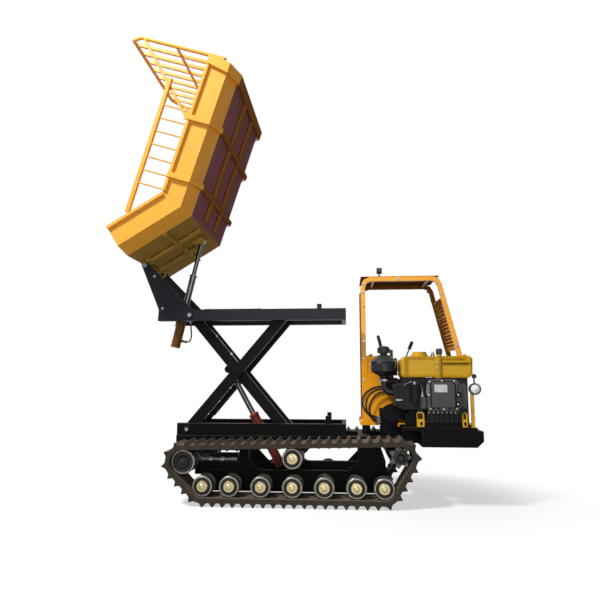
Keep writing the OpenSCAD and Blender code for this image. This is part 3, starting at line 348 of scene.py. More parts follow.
def moulded_plastic(name, colour, roughness=0.42):
    """Moulded plastic: an even colour with a fine leathery skin and slightly scuffed shine."""
    material, tree, place = start_material(name)
    cloud = add(tree, "TexNoise", pattern(place, 40, Detail=5.0)).outputs["Fac"]
    grain = add(tree, "TexVoronoi", pattern(place, 1.6)).outputs["Distance"]
    return set_surface(material, (cloud, shade(colour, 0.78), linear(colour)),
                       (cloud, roughness - 0.1, roughness + 0.12), (grain, 0.25, 0.15 * MM), {"IOR": 1.5})


green_cap = moulded_plastic("green_polyethylene", "#2E9B6B")
port_rings = [(-30, 11), (-2, 11), (0, 15), (12, 15), (13, 11), (20, 10)]
port = lathe("tip_barrel_port", port_rings, p[3], p[2] - p[3], 24)
fit(port, green_cap, "tip_barrel")


# Tracks. Each is one endless rubber belt, moulded with a tread lug every ninety millimetres on its outside
# and a drive tooth behind each lug. Dust from dry ground lies in the tread, and a lighter grey-brown on
# upward faces is dust and also painted highlight on the tops of the lugs.
def track_rubber():
    """Track rubber: brown-black, lighter on upward faces as dust and painted highlight, with mould lines and
    small cuts.
    """
    material, tree, place = start_material("track_rubber")
    patch = add(tree, "TexNoise", pattern(place, 70, Detail=8.0, Roughness=0.65)).outputs["Fac"]
    dust = add(tree, "MapRange", {"Value": patch, "From Min": 0.40, "From Max": 0.70, "To Max": 0.9})
    belt = {0: dust.outputs[0], 6: linear("#241F1B"), 7: linear("#3D352E")}
    upward = add(tree, "SeparateXYZ", {0: add(tree, "NewGeometry").outputs["Normal"]}).outputs["Z"]
    # Upward faces are lightened: dust, and also painted highlight.
    lying = add(tree, "MapRange", {"Value": upward, "From Min": -0.1, "From Max": 0.7, "To Max": 0.7})
    cuts = add(tree, "TexNoise", pattern(place, 7, Detail=6.0, Roughness=0.7)).outputs["Fac"]
    soft_edge = add(tree, "Bevel", {"Radius": 3 * MM}, samples=4).outputs[0]
    mix = (lying.outputs[0], add(tree, "Mix", belt, data_type="RGBA").outputs[2], linear("#63574C"))
    return set_surface(material, mix, (patch, 0.45, 0.85), (cuts, 0.5, 1.2 * MM, soft_edge),
                       {"IOR": 1.52, "Specular IOR Level": 0.12})


def dress(node, material):
    """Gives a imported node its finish."""
    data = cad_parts[node].data
    data.materials.clear()
    data.materials.append(material)
    return data


tread = track_rubber()
for node in ("track_belt_near", "track_belt_far"):
    dress(node, tread)


# Chassis. Welded steel beams carry the track wheels, with the tension rod of the rear idler between them.
# They are sprayed in black chassis paint, which is chipped along its edges and holds dust on its flats;
# the pale chip colour laid wide along the edges also serves as a painted highlight on them.
def coated_steel(name, colour, chip="#7D7468", roughness=0.45, wear=0.5, dust="#7A6A55", dusty=0.35,
                 gloss=0.12, edge=4):
    """Paint on steel: a slightly uneven film with orange peel, chipped edges, and dust on its upper faces.
    A fine bloom of dust takes most of its gloss, and edges are rounded by a radius in millimetres."""
    material, tree, place = start_material(name)
    broad = add(tree, "TexNoise", pattern(place, 160, Detail=7.0, Roughness=0.6)).outputs["Fac"]
    film = {0: broad, 6: shade(colour, 0.80), 7: linear(colour)}
    soft_edge = add(tree, "Bevel", {"Radius": edge * MM}, samples=6).outputs[0]
    facing = add(tree, "NewGeometry").outputs["Normal"]
    flat = add(tree, "VectorMath", {0: soft_edge, 1: facing}, operation="DOT_PRODUCT")
    nicks = add(tree, "TexNoise", pattern(place, 14, Detail=9.0, Roughness=0.7)).outputs["Fac"]
    ragged = add(tree, "Math", {0: flat.outputs["Value"], 1: nicks}, operation="SUBTRACT")
    chipped = {"Value": ragged.outputs[0], "From Min": 0.30, "From Max": 0.14, "To Max": wear}
    paint = {0: add(tree, "MapRange", chipped).outputs[0], 7: linear(chip),
             6: add(tree, "Mix", film, data_type="RGBA").outputs[2]}
    upward = add(tree, "SeparateXYZ", {0: facing}).outputs["Z"]
    lying = add(tree, "MapRange", {"Value": upward, "From Min": 0.55, "From Max": 1.0})
    patches = add(tree, "MapRange", {"Value": broad, "From Min": 0.35, "From Max": 0.7, "To Max": dusty})
    grey = add(tree, "Math", {0: lying.outputs[0], 1: patches.outputs[0]}, operation="MULTIPLY").outputs[0]
    peel = add(tree, "TexNoise", pattern(place, 4, Detail=2.0)).outputs["Fac"]
    return set_surface(material, (grey, add(tree, "Mix", paint, data_type="RGBA").outputs[2], linear(dust)),
                       (nicks, roughness - 0.12, roughness + 0.16), (peel, 0.12, 0.4 * MM, soft_edge),
                       {"IOR": 1.5, "Specular IOR Level": gloss})


# The pale chip colour along the edges is chipped paint and also a painted highlight on the beam edges.
chassis_black = coated_steel("black_chassis_paint", "#0B0A0A", chip="#857A6E", roughness=0.5, wear=0.75,
                             dusty=0.25, gloss=0.05, edge=6)
chassis = dress("chassis_frame", chassis_black)


# Track wheels. Seven cast road wheels, a carrier roller and an idler run in each belt on sealed bearings.
# Their rims are polished by the belt and their webs stay black. A domed cap in yellow passivated zinc, with
# three bolted ears, closes each bearing apart from the idler's, which is black.
def bare_steel(name, colour, roughness, stain="#5A5048"):
    """Bare rolled steel: grey metal, rubbed bright in streaks and stained brown between them."""
    material, tree, place = start_material(name)
    rubbed = add(tree, "TexNoise", pattern(place, 25, Detail=7.0, Roughness=0.65)).outputs["Fac"]
    stains = add(tree, "MapRange", {"Value": rubbed, "From Min": 0.45, "From Max": 0.75, "To Max": 0.8})
    grain = add(tree, "TexNoise", pattern(place, 2, Detail=4.0)).outputs["Fac"]
    soft_edge = add(tree, "Bevel", {"Radius": 2 * MM}, samples=4).outputs[0]
    return set_surface(material, (stains.outputs[0], linear(colour), linear(stain)),
                       (rubbed, roughness - 0.1, roughness + 0.25), (grain, 0.2, 0.3 * MM, soft_edge),
                       {"Metallic": 0.9})


def regions(data, material, chosen):
    """Gives a finish to the faces that a test chooses by their middle, in millimetres, and their facing."""
    data.materials.append(material)
    index = len(data.materials) - 1
    for face in data.polygons:
        if chosen(face.center / MM, face.normal):
            face.material_index = index


def box_of(node):
    """The middle and the half size of a node's box, in millimetres."""
    low, high = (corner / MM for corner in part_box(node))
    return (low + high) / 2, (high - low) / 2


def from_axis(c, hub):
    """How far a place lies from the axis of a wheel."""
    return math.hypot(c.x - hub.x, c.z - hub.z)


wheel_black = coated_steel("black_wheel_paint", "#0C0C0E", roughness=0.4, wear=0.6, dusty=0.2, gloss=0.3)
rolled_rim = bare_steel("rolled_rim_steel", "#4E4A45", 0.4, "#2A2724")
rim_edge = bare_steel("polished_rim_steel", "#8A857B", 0.3, "#4A453E")
gold_cap = zinc_plate("yellow_passivated_zinc", "#D6CBA4", 0.30, "#8E7F58")
wheel_r = 92
idler_r = 109.5
rim_depth = 9
edge_depth = 17
cap_r = 54
track_y = 475
cap_y = track_y + 99
wheels = {f"road_wheel_{side}{k}": wheel_r for side in "nf" for k in range(1, 8)}
wheels.update({f"carrier_{side}": wheel_r for side in ("near", "far")})
wheels.update({f"idler_{side}": idler_r for side in ("near", "far")})
for node, radius in wheels.items():
    hub = box_of(node)[0]
    data = dress(node, wheel_black)
    regions(data, rolled_rim, lambda c, n: from_axis(c, hub) > radius - rim_depth)
    regions(data, rim_edge, lambda c, n: from_axis(c, hub) > radius - edge_depth and abs(c.y) > cap_y)
    if not node.startswith("idler"):
        regions(data, gold_cap, lambda c, n: from_axis(c, hub) < cap_r and abs(c.y) > cap_y)

# Tension rods. A drawn steel rod on each side pushes the rear idler back and keeps the belt tight.
# It slides in the chassis beam and is left bare, rubbed bright and stained between the streaks.
pipe_steel = bare_steel("drawn_pipe_steel", "#8C8A86", 0.3)
rod_ends = (-940, -545)
rod_y = 345
rod_z = 373.6
rod_room = 26
regions(chassis, pipe_steel, lambda c, n: rod_ends[0] < c.x - shift < rod_ends[1]
        and abs(abs(c.y) - rod_y) < rod_room and abs(c.z - rod_z) < rod_room)

# Drive sprockets. A flame-cut steel wheel pulls the belt by its teeth at the engine end, bolted to the axle.
# Its teeth are rubbed bright and its hub is black.
sprocket_steel = bare_steel("sprocket_steel", "#5A5650", 0.4, "#2E2A26")
sprocket_hub_r = 60
for node in ("sprocket_near", "sprocket_far"):
    hub = box_of(node)[0]
    regions(dress(node, wheel_black), sprocket_steel, lambda c, n: from_axis(c, hub) > sprocket_hub_r)


# Lift frames and scissor arms. Folded steel channels form the lower and raised frames, and two pairs of
# square tubes cross between them on plain pins. All are sprayed in a blue-black machine paint, and a flat
# panel closes the window in each hinge plate.
def plate(name, outline, y0, y1, bevel):
    """A flat piece with an outline in X and Z, in millimetres, between two depths, with eased edges."""
    mesh = bmesh.new()
    front, back = ([mesh.verts.new(at(x, y, z)) for x, z in outline] for y in (y0, y1))
    mesh.faces.new(front)
    mesh.faces.new(back[::-1])
    for i in range(len(outline)):
        j = (i + 1) % len(outline)
        mesh.faces.new((front[j], front[i], back[i], back[j]))
    piece = mesh_piece(name, mesh, 30)
    ease = piece.modifiers.new("eased_edges", "BEVEL")
    ease.width = bevel * MM
    ease.segments = 2
    ease.limit_method = "ANGLE"
    return piece


frame_paint = coated_steel("blue_black_enamel", "#211F27", chip="#6E6A70", roughness=0.42, wear=0.35,
                           dusty=0.2)
arm_paint = coated_steel("black_arm_enamel", "#0D0D10", chip="#6E6A70", roughness=0.42, wear=0.5, dusty=0.15,
                         gloss=0.06)
pin_face_y = 297.2
frames = {"lower_frame": chassis_black, "upper_frame": frame_paint,
          "outer_arms": arm_paint, "inner_arms": arm_paint}
for node, paint in frames.items():
    regions(dress(node, paint), zinc, lambda c, n: abs(c.y) > pin_face_y)
roller_steel = bare_steel("turned_roller_steel", "#9A958C", 0.34)
for node in ("lower_rollers", "upper_rollers"):
    dress(node, roller_steel)
panel = [(-1322, 1846), (-1166, 1846), (-1180, 1866), (-1302, 2036), (-1322, 2046)]
panel_thick = 6
for side, y in (("near", -297), ("far", 291)):
    piece = plate(f"hinge_panel_{side}", panel, y, y + panel_thick, 2)
    fit(piece, frame_paint, "upper_frame")

# Pipes on the lift. A thin steel pipe carries oil up each outer arm, held by white nylon clips, and goes on
# over the upper half of the near inner arm to the raised frame.
arm_foot = (-1044, 639)
arm_run = 932
lift_rise = 1100
arm_angle = math.atan2(lift_rise, arm_run)
arm_half = 50
arm_face_y = -218
inner_y = -137
pipe_d = 9
nylon = moulded_plastic("white_nylon", "#E6E4DC", 0.5)


def along_arm(reach, rise, y):
    """A place on an outer arm, by its distance from the foot and above the arm's middle line."""
    c, s = math.cos(arm_angle), math.sin(arm_angle)
    return at(arm_foot[0] + reach * c - rise * s, y, arm_foot[1] + reach * s + rise * c)


def along_inner(reach, rise):
    """A place on the near inner arm, by its distance from its upper pin and above the arm's middle line."""
    c, s = math.cos(arm_angle), math.sin(arm_angle)
    return at(arm_foot[0] + reach * c + rise * s, inner_y, arm_foot[1] + lift_rise - reach * s + rise * c)


def pipe_clip(name, spot, way, half, radius, body):
    """A nylon ring round a pipe, half its length to each side of a place."""
    rings = [(-half, 5), (-half, radius), (half, radius), (half, 5)]
    fit(lathe(name, rings, spot, way, 18), nylon, body)


pipe_rise = arm_half + pipe_d / 2 - 1
for side, y in (("near", arm_face_y + 12), ("far", -arm_face_y - 12)):
    a, b = (along_arm(reach, -pipe_rise, y) for reach in (170, 610))
    third = (b - a) / 3
    pipe = curve_piece(f"arm_pipe_{side}", [(a - third, a, a + third), (b - third, b, b + third)], pipe_d)
    fit(pipe, pipe_steel, "outer_arms")
    way = along_arm(1, 0, y) - along_arm(0, 0, y)
    for k, reach in enumerate((230, 390, 560)):
        pipe_clip(f"arm_clip_{side}_{k}", along_arm(reach, -pipe_rise, y), way, 9, 8.5, "outer_arms")
inner_route = (
    ((190, 44), (200, 40), (208, 48)),
    ((215, pipe_rise), (225, pipe_rise), (300, pipe_rise)),
    ((560, pipe_rise), (640, pipe_rise), (648, pipe_rise)),
    ((655, 48), (664, 40), (655, 44)),
)
handles = [[along_inner(reach, rise) for reach, rise in spots] for spots in inner_route]
fit(curve_piece("inner_arm_pipe", handles, pipe_d), pipe_steel, "inner_arms")
way = along_inner(1, 0) - along_inner(0, 0)
for k, reach in enumerate((304, 540)):
    pipe_clip(f"inner_arm_clip_{k}", along_inner(reach, pipe_rise), way, 11, 9.5, "inner_arms")


# Cylinders. The lift and tipping cylinders are honed tubes in red and brown oxide enamel, held in trunnions.
# Their hard-chromed rods slide through orange wiper seals, and stay bright and slightly oily.
def hard_chrome(name):
    """Hard chrome: a near mirror, with faint rings from grinding and an uneven film of oil."""
    material, tree, place = start_material(name)
    oil = add(tree, "TexNoise", pattern(place, 60, Detail=5.0)).outputs["Fac"]
    rings = add(tree, "TexNoise", pattern(place, 3, Detail=2.0)).outputs["Fac"]
    return set_surface(material, (oil, linear("#575854"), linear("#31312D")), (oil, 0.10, 0.28),
                       (rings, 0.04, 0.1 * MM), {"Metallic": 1.0})


def slope(tilt):
    """The directions along a slope and out of its underside, by its tilt in degrees in the side view."""
    c, s = math.cos(math.radians(tilt)), math.sin(math.radians(tilt))
    return Vector((c, 0, s)), Vector((s, 0, -c))


barrels = {"lift_barrel": ("red_oxide_enamel", "#6B2A1E"), "tip_barrel": ("brown_oxide_enamel", "#6E4618")}
for node, (name, colour) in barrels.items():
    dress(node, coated_steel(name, colour, chip="#8A7A6C", roughness=0.42, wear=0.4, dusty=0.2))
chrome = hard_chrome("hard_chrome")
for node in ("lift_rod", "tip_stage", "tip_rod"):
    dress(node, chrome)
wiper = moulded_plastic("orange_polyurethane", "#D9652A", 0.35)
wiper_seals = {
    "lift": ((-375, 0, 639), 119.36, 142, [(0, 30), (0, 43), (4, 45), (9, 45), (12, 40), (12, 29)]),
    "tip": ((-1198.7, 0, 1757), 77.05, 95, [(0, 36), (0, 46), (4, 47), (8, 47), (11, 42), (11, 35)]),
}
for name, (trunnion, tilt, reach, rings) in wiper_seals.items():
    way = slope(tilt)[0]
    seal = lathe(f"{name}_wiper_seal", rings, at(*trunnion) + way * reach * MM, way, 40)
    fit(seal, wiper, f"{name}_barrel")

# Load body. A welded sheet trough with bevelled lower edges and a ramp at its tail, stiffened by folded
# ribs, with tube rails on both sides and a barred guard at the front. It is sprayed in a warm yellow-orange
# enamel. Below, darker browns are painted shade, with a mauve tint of painted reflection on the floor
# plate, and thin near-black strips beside the long rails are painted shadow.
body_enamel = coated_steel("orange_body_enamel", "#F0A838", chip="#8E6A3A", roughness=0.36, wear=0.25,
                           dust="#B99B6A", dusty=0.25, gloss=0.3)
body_tilt = 72.5
ramp_tilt = body_tilt - 41
floor_crease = at(-964, 0, 2649.2) / MM
floor_skin = 3
under_half = 607


def beneath(c, tilt):
    """Whether a place lies on or below the underside of a slope, between the bevelled edges."""
    return (c - floor_crease).dot(slope(tilt)[1]) > -floor_skin and abs(c.y) < under_half


# Painted shade: the ramp's underside is given a dull, darker brown in place of the shade that falls on it.
ramp_painted_shade = coated_steel("painted_shade_under_ramp", "#A9843A", chip="#4A3420", roughness=0.7, wear=0.4, dusty=0.1,
                          gloss=0.1)
# Painted shade: the floor plate and the ribs below it are given darker browns, the plate's with a mauve tint
# of painted reflection.
painted_undersides = {"body_shell": ("road_grime_on_enamel", "#A06A70"),
           "body_ribs": ("painted_shade_under_ribs", "#A0662A")}
for node, (name, colour) in painted_undersides.items():
    underside_painted_shade = coated_steel(name, colour, chip="#4A3420", roughness=0.75, wear=0.5, dusty=0.1, gloss=0.05)
    data = dress(node, body_enamel)
    regions(data, underside_painted_shade, lambda c, n: beneath(c, body_tilt))
    regions(data, ramp_painted_shade, lambda c, n: beneath(c, ramp_tilt))
dress("body_rails", body_enamel)
# Painted shadow: thin near-black strips, a little proud of the underside, lie beside each long rail on the
# floor and the ramp.
painted_shadow_strips = coated_steel("painted_shadow_black", "#140C06", roughness=0.9, wear=0.1, dusty=0.1, gloss=0.02)
strip_wide = 14
strip_thick = 1.5
shadow_strips = {
    "floor": (body_tilt, -236, 154, ((64, 254), (330, 560), (590, 838), (910, 1140), (1170, 1400))),
    "ramp": (ramp_tilt, -252, 148, ((-590, -470), (-440, -335), (-265, -160), (-130, -40))),
}
for part, (tilt, near_y, far_y, spans) in shadow_strips.items():
    way, out = slope(tilt)
    for side, y in (("near", near_y), ("far", far_y)):
        for k, (start, end) in enumerate(spans):
            edge = [floor_crease + way * start, floor_crease + way * end]
            edge += [spot + out * strip_thick for spot in edge[::-1]]
            strip = [(spot.x - shift, spot.z) for spot in edge]
            slot = plate(f"{part}_slot_{side}_{k + 1}", strip, y, y + strip_wide, 0.3)
            fit(slot, painted_shadow_strips, "load_body")

# Driver place. Bent tubes in orange enamel carry the roof sheet and the louvred grille, over a steel deck
# with a side sheet and a seat box. Zinc-plated bolts hold the tubes, and a lamp stands on the roof.
canopy_enamel = coated_steel("orange_canopy_enamel", "#F3AC36", chip="#8E6A3A", roughness=0.34, wear=0.2,
                             dust="#B99B6A", dusty=0.2, gloss=0.2)
# Painted shade: the roof sheet's downward faces are given a dark brown in place of the shade under the roof.
roof_painted_shade = coated_steel("painted_shade_under_roof", "#5A360C", roughness=0.8, wear=0.1, dusty=0.0, gloss=0.05)
canopy_nodes = ("canopy_frame", "roof_sheet", "front_grille")
canopy, roof, grille = (dress(node, canopy_enamel) for node in canopy_nodes)
sheet_enamel = coated_steel("yellow_sheet_enamel", "#EFA010", chip="#8E6A3A", roughness=0.4, wear=0.2,
                            dust="#B99B6A", dusty=0.2, gloss=0.08)
dress("cab_floor", sheet_enamel)
regions(roof, roof_painted_shade, lambda c, n: n.z < -0.9)
# Painted shade: the far tubes' faces, apart from their outward ones, are given a dull brown for the shade
# inside the canopy.
far_tube_painted_shade = coated_steel("painted_shade_on_far_tubes", "#8A5814", chip="#5E4420", roughness=0.6, wear=0.3,
                            dusty=0.1, gloss=0.06)
inside_y = 300
turned_away = 0.3
regions(canopy, far_tube_painted_shade, lambda c, n: c.y > inside_y and n.y < turned_away)
# Painted shade: the grille's faces, apart from those facing the engine end, are given a darker orange-brown.
louvre_painted_shade = coated_steel("painted_shade_on_louvres", "#D28E2A", chip="#5E4420", roughness=0.6, wear=0.3,
                             dusty=0.1, gloss=0.06)
regions(grille, louvre_painted_shade, lambda c, n: n.x < turned_away)
lamp_black = moulded_plastic("black_lamp_plastic", "#17171A")
dress("roof_lamp", lamp_black)


def bolts(name, places, across, outward=(0, -1, 0), look=zinc):
    """Hex bolt heads on washers, standing on a face at the places, in millimetres, along a direction."""
    away = Vector(outward)
    side = away.orthogonal().normalized()
    other = away.cross(side)
    washer = 2
    head = across * 0.62
    shoulder = washer + head * 0.85
    crown = washer + head
    stack = [(32, across * 0.95, 0, washer), (6, across * 0.577, washer, shoulder),
             (6, across * 0.47, shoulder, crown)]
    mesh = bmesh.new()
    for place in places:
        foot = at(*place)
        last = []
        for count, radius, start, end in stack:
            turns = [2 * math.pi * i / count for i in range(count)]
            ring = [(side * math.cos(a) + other * math.sin(a)) * radius * MM for a in turns]
            top = [mesh.verts.new(foot + r + away * end * MM) for r in ring]
            low = last
            if len(last) != count:
                low = [mesh.verts.new(foot + r + away * start * MM) for r in ring]
                mesh.faces.new(low[::-1])
            for i in range(count):
                j = (i + 1) % count
                mesh.faces.new((low[i], low[j], top[j], top[i]))
            if end != shoulder:
                mesh.faces.new(top)
            last = top
    return fit(mesh_piece(name, mesh), look)


near_tube_y = -52
far_tube_y = 538
tube_bolts = [(664, 2065), (664, 1983), (1018, 2116), (1395, 2062), (1435, 1960), (1578, 1440), (664, 1489)]
bolts("canopy_bolts_near", [(x, near_tube_y, z) for x, z in tube_bolts], 13)
bolts("canopy_bolts_far", [(x, far_tube_y, z) for x, z in tube_bolts], 13, (0, 1, 0))
bolts("side_sheet_bolts", [(x, sheet_y, z) for x in (662, 930) for z in (870, 1110, 1315)], 10)


# Seat. Two foam pads in black vinyl, stuffed tight and sewn with a welt round their edges, sit on the steel
# seat box and against its back plate.
def vinyl(name):
    """Black upholstery vinyl: a soft sheen, a pebbled grain, and greyer where it is worn."""
    material, tree, place = start_material(name)
    worn = add(tree, "TexNoise", pattern(place, 90, Detail=5.0)).outputs["Fac"]
    grain = add(tree, "TexVoronoi", pattern(place, 3)).outputs["Distance"]
    return set_surface(material, (worn, linear("#121214"), linear("#2A2A2C")), (worn, 0.38, 0.6),
                       (grain, 0.4, 0.5 * MM), {"IOR": 1.52, "Sheen Weight": 0.15})


seat_vinyl = vinyl("black_vinyl")
pad_corner = 18
pad_mesh = 6
pad_gap = 0.3
pad_rise = 6
stuffing = 4.0
swell_frames = 20


def cushion(node, inset, cap):
    """A stuffed pad in the place of a node: it starts inset from the node's box, swells by pressure up to a
    cap, and lies flat against what the node rests on."""
    low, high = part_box(node)
    start, end = low + Vector(inset) * MM, high - Vector(inset) * MM
    mesh = bmesh.new()
    bmesh.ops.create_cube(mesh, size=1.0)
    for vert in mesh.verts:
        vert.co = Vector(start[i] + (vert.co[i] + 0.5) * (end[i] - start[i]) for i in range(3))
    bmesh.ops.bevel(mesh, geom=mesh.edges[:], offset=pad_corner * MM, segments=4, affect="EDGES",
                    profile=0.5)
    pad = mesh_piece(node + "_pad", mesh)
    even = pad.modifiers.new("even_mesh", "REMESH")
    even.mode = "VOXEL"
    even.voxel_size = pad_mesh * MM
    pad = as_mesh(pad)
    before = [vert.co.copy() for vert in pad.data.vertices]
    fabric = pad.modifiers.new("stuffing", "CLOTH")
    fabric.settings.use_pressure = True
    fabric.settings.uniform_pressure_force = stuffing
    fabric.settings.effector_weights.gravity = 0
    fabric.point_cache.frame_start = 1
    fabric.point_cache.frame_end = swell_frames
    for number in range(1, swell_frames + 1):
        bpy.context.scene.frame_set(number)
    pad = as_mesh(pad)
    bpy.context.scene.frame_set(1)
    for vert, place in zip(pad.data.vertices, before):
        move = vert.co - place
        if move.length > cap * MM:
            vert.co = place + move.normalized() * cap * MM
    for vert in pad.data.vertices:
        for i in range(3):
            vert.co[i] = min(max(vert.co[i], low[i] + pad_gap * MM), high[i] + pad_rise * MM)
    smooth = pad.modifiers.new("soft_surface", "SUBSURF")
    smooth.levels = 1
    smooth.render_levels = 1
    for face in pad.data.polygons:
        face.use_smooth = True
    fit(pad, seat_vinyl)
    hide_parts(node)


cushion("seat_cushion", (8, 10, 6), 9)
cushion("seat_back", (4, 10, 10), 8)
welt_d = 8
welt_corner = 34
welt_inset = 3


def welt(node, axis, rise):
    """A sewn cord round the edge of a pad, a little inside its greatest outline, at a rise along an axis."""
    centre, half = box_of(node)
    a, b = (0, 1) if axis == 2 else (1, 2)
    inner = half - Vector((1, 1, 1)) * (welt_inset + welt_corner)
    spots = []
    for k, (to_a, to_b) in enumerate(((1, 1), (-1, 1), (-1, -1), (1, -1))):
        for i in range(7):
            turn = math.radians(90 * k + 15 * i)
            spot = centre - half
            spot[a] = centre[a] + to_a * inner[a] + welt_corner * math.cos(turn)
            spot[b] = centre[b] + to_b * inner[b] + welt_corner * math.sin(turn)
            spot[axis] += rise
            spots.append(spot * MM)
    curve = bpy.data.curves.new(node + "_welt", "CURVE")
    curve.dimensions = "3D"
    curve.bevel_depth = welt_d / 2 * MM
    curve.bevel_resolution = 4
    line = curve.splines.new("POLY")
    line.points.add(len(spots) - 1)
    for point, spot in zip(line.points, spots):
        point.co = (*spot, 1)
    line.use_cyclic_u = True
    fit(new_piece(node + "_welt", curve), seat_vinyl)


welt("seat_cushion", 2, 62)
welt("seat_back", 0, 46)

# Controls. The lift valve stands on the side sheet and the steering lever on a column before the seat.
# Both levers are steel rods with ribbed rubber grips, and two switches sit on the column. The oil tank that
# feeds the valve is in chassis black too.
dress("control_console", chassis_black)
lever_steel = coated_steel("black_lever_enamel", "#26262A", roughness=0.38, wear=0.7, dusty=0.1)
for node in ("lift_lever", "steer_lever"):
    dress(node, lever_steel)
grip_rubber = black_rubber("grip_rubber", "#0D0D0E", "#1D1C1B", 1.0)
bare_share = 0.72
rib_pitch = 9


def grip(lever, pin, top, y, radius):
    """A ribbed rubber grip over the upper end of a lever."""
    low = at(pin[0], y, pin[1])
    high = at(top[0], y, top[1])
    start = low.lerp(high, bare_share)
    length = (high - start).length / MM
    rings = [(0, radius + 1), (4, radius + 3.5), (10, radius + 3.5)]
    for k in range(int((length - 22) // rib_pitch)):
        rib = 12 + rib_pitch * k
        rings += [(rib, radius + 0.8), (rib + 2, radius + 2.4), (rib + 5, radius + 2.4),
                  (rib + 7, radius + 0.8)]
    rings += [(length - 4, radius + 2), (length + 2, radius), (length + 6, radius * 0.6), (length + 8, 2)]
    fit(lathe(f"{lever}_grip", rings, start, high - start, 28), grip_rubber, lever)


grip("lift_lever", (905, 1118), (804, 1534), -108, 14)
grip("steer_lever", (1062, 1230), (1175, 1494), 240, 16)
dress("hydraulic_tank", chassis_black)


# Drive train. A cast gearbox stands behind the sprockets with its axle tubes, driven by belts inside a
# pressed guard from the engine's flywheel. All are in dark navy enamel over rough castings.
def cast_iron(name, colour, roughness, grit=3.0, dusty=0.3, gloss=0.12):
    """Enamelled cast iron: a dark film over sand-cast pores, oily in places and dusty on top."""
    material, tree, place = start_material(name)
    broad = add(tree, "TexNoise", pattern(place, 80, Detail=7.0, Roughness=0.62)).outputs["Fac"]
    film = {0: broad, 6: shade(colour, 0.6), 7: linear(colour)}
    upward = add(tree, "SeparateXYZ", {0: add(tree, "NewGeometry").outputs["Normal"]}).outputs["Z"]
    lying = add(tree, "MapRange", {"Value": upward, "From Min": 0.3, "From Max": 1.0, "To Max": dusty})
    pores = add(tree, "TexNoise", pattern(place, grit, Detail=5.0, Roughness=0.6)).outputs["Fac"]
    soft_edge = add(tree, "Bevel", {"Radius": 5 * MM}, samples=4).outputs[0]
    mix = (lying.outputs[0], add(tree, "Mix", film, data_type="RGBA").outputs[2], linear("#6F6456"))
    return set_surface(material, mix, (broad, roughness - 0.15, roughness + 0.2),
                       (pores, 0.35, 0.6 * MM, soft_edge), {"IOR": 1.5, "Specular IOR Level": gloss})


navy_iron = cast_iron("navy_cast_iron", "#070811", 0.45, dusty=0.1, gloss=0.06)
dress("transmission", navy_iron)
guard_enamel = coated_steel("navy_guard_enamel", "#070911", roughness=0.4, wear=0.3, dusty=0.1, gloss=0.08)
dress("belt_guard", guard_enamel)
flywheel_iron = cast_iron("grey_cast_iron", "#4A4B4E", 0.4, 2.0, 0.15)
dress("flywheel", flywheel_iron)

# Engine. A horizontal single-cylinder diesel stands on two rails of the folded engine base. Its crank case
# is dark enamelled iron, its feet are painted with the machine, and the gear cover carries ports and bolts.
dress("engine_base", chassis_black)
engine_iron = cast_iron("dark_enamelled_iron", "#131315", 0.42, dusty=0.15)
cover_iron = cast_iron("grey_enamelled_cover", "#424347", 0.36, 2.5, 0.2, 0.2)
muffler_steel = bare_steel("heat_stained_steel", "#3E342D", 0.55, "#241C18")
muffler_end = 975
muffler_low = 1086
regions(dress("engine_block", engine_iron), muffler_steel,
        lambda c, n: c.x - shift < muffler_end and c.z > muffler_low)
feet_enamel = coated_steel("yellow_foot_enamel", "#CF9E28", roughness=0.4, wear=0.4, dusty=0.3)
# Painted shade: a flat dark brown patch stands for the shade in each foot's recess.
foot_hollow_painted_shade = coated_steel("painted_shade_in_foot_hollow", "#3A2406", roughness=0.6, wear=0.2, dusty=0.1)
foot_face = -606
hollow_y = (foot_face - 0.6, foot_face + 4)
for k, (left, right, x) in enumerate(((1098, 1164, 1136), (1490, 1534, 1512))):
    shoe = [(left, 703), (right, 703), (right, 816), (right - 14, 831), (left + 10, 831), (left, 818)]
    foot = plate(f"engine_foot_{k + 1}", shoe, foot_face, foot_face + 16, 3)
    fit(foot, feet_enamel)
    slot = [(x - 10, 724), (x - 6, 714), (x + 6, 714), (x + 10, 724), (x + 10, 740), (x + 6, 749),
            (x - 6, 749), (x - 10, 740)]
    fit(plate(f"foot_slot_{k + 1}", slot, *hollow_y, 0.3), chassis_black)
    # The recess is a flat patch of painted shade on the foot's face.
    hollow = [(left + 5, 772), (right - 14, 772), (right - 14, 812), (right - 22, 822), (left + 5, 822)]
    fit(plate(f"foot_hollow_{k + 1}", hollow, *hollow_y, 0.3), foot_hollow_painted_shade)
case_y = -595
cover_y = -620
cover_in = cover_y + 1
field_y = cover_y - 14
engine_plates = {
    "sump_rail": (-588, -576, 2, chassis_black, [(1166, 698.5), (1478, 698.5), (1478, 741), (1166, 741)]),
    "cylinder_stay": (-552, -540, 2, chassis_black,
                      [(1000, 698.5), (1098, 698.5), (1098, 850), (1060, 850), (1000, 800)]),
    "cover_field": (field_y, cover_in, 7, cover_iron,
                    [(1232, 868), (1418, 868), (1432, 884), (1432, 1062), (1408, 1092), (1240, 1092),
                     (1228, 1078), (1228, 880)]),
    "cover_groove": (cover_y - 2, cover_in, 0.8, engine_iron,
                     [(1222, 856), (1424, 856), (1442, 876), (1442, 1066), (1414, 1100), (1234, 1100),
                      (1217, 1082), (1217, 868)]),
    "case_flange": (case_y - 9, case_y + 1, 3, cover_iron,
                    [(1493, 872), (1514, 862), (1537, 886), (1537, 1052), (1518, 1084), (1493, 1066)]),
}
for name, (y0, y1, ease, look, outline) in engine_plates.items():
    fit(plate(name, outline, y0, y1, ease), look)
bolts("sump_bolts", [(1208 + 37.5 * k, case_y, 828) for k in range(7)], 7, look=pipe_steel)
cover_heads = [(1215, 862), (1330, 858), (1440, 862), (1470, 1000), (1425, 1100), (1320, 1104), (1215, 1096),
               (1208, 980)]
head_r = 11
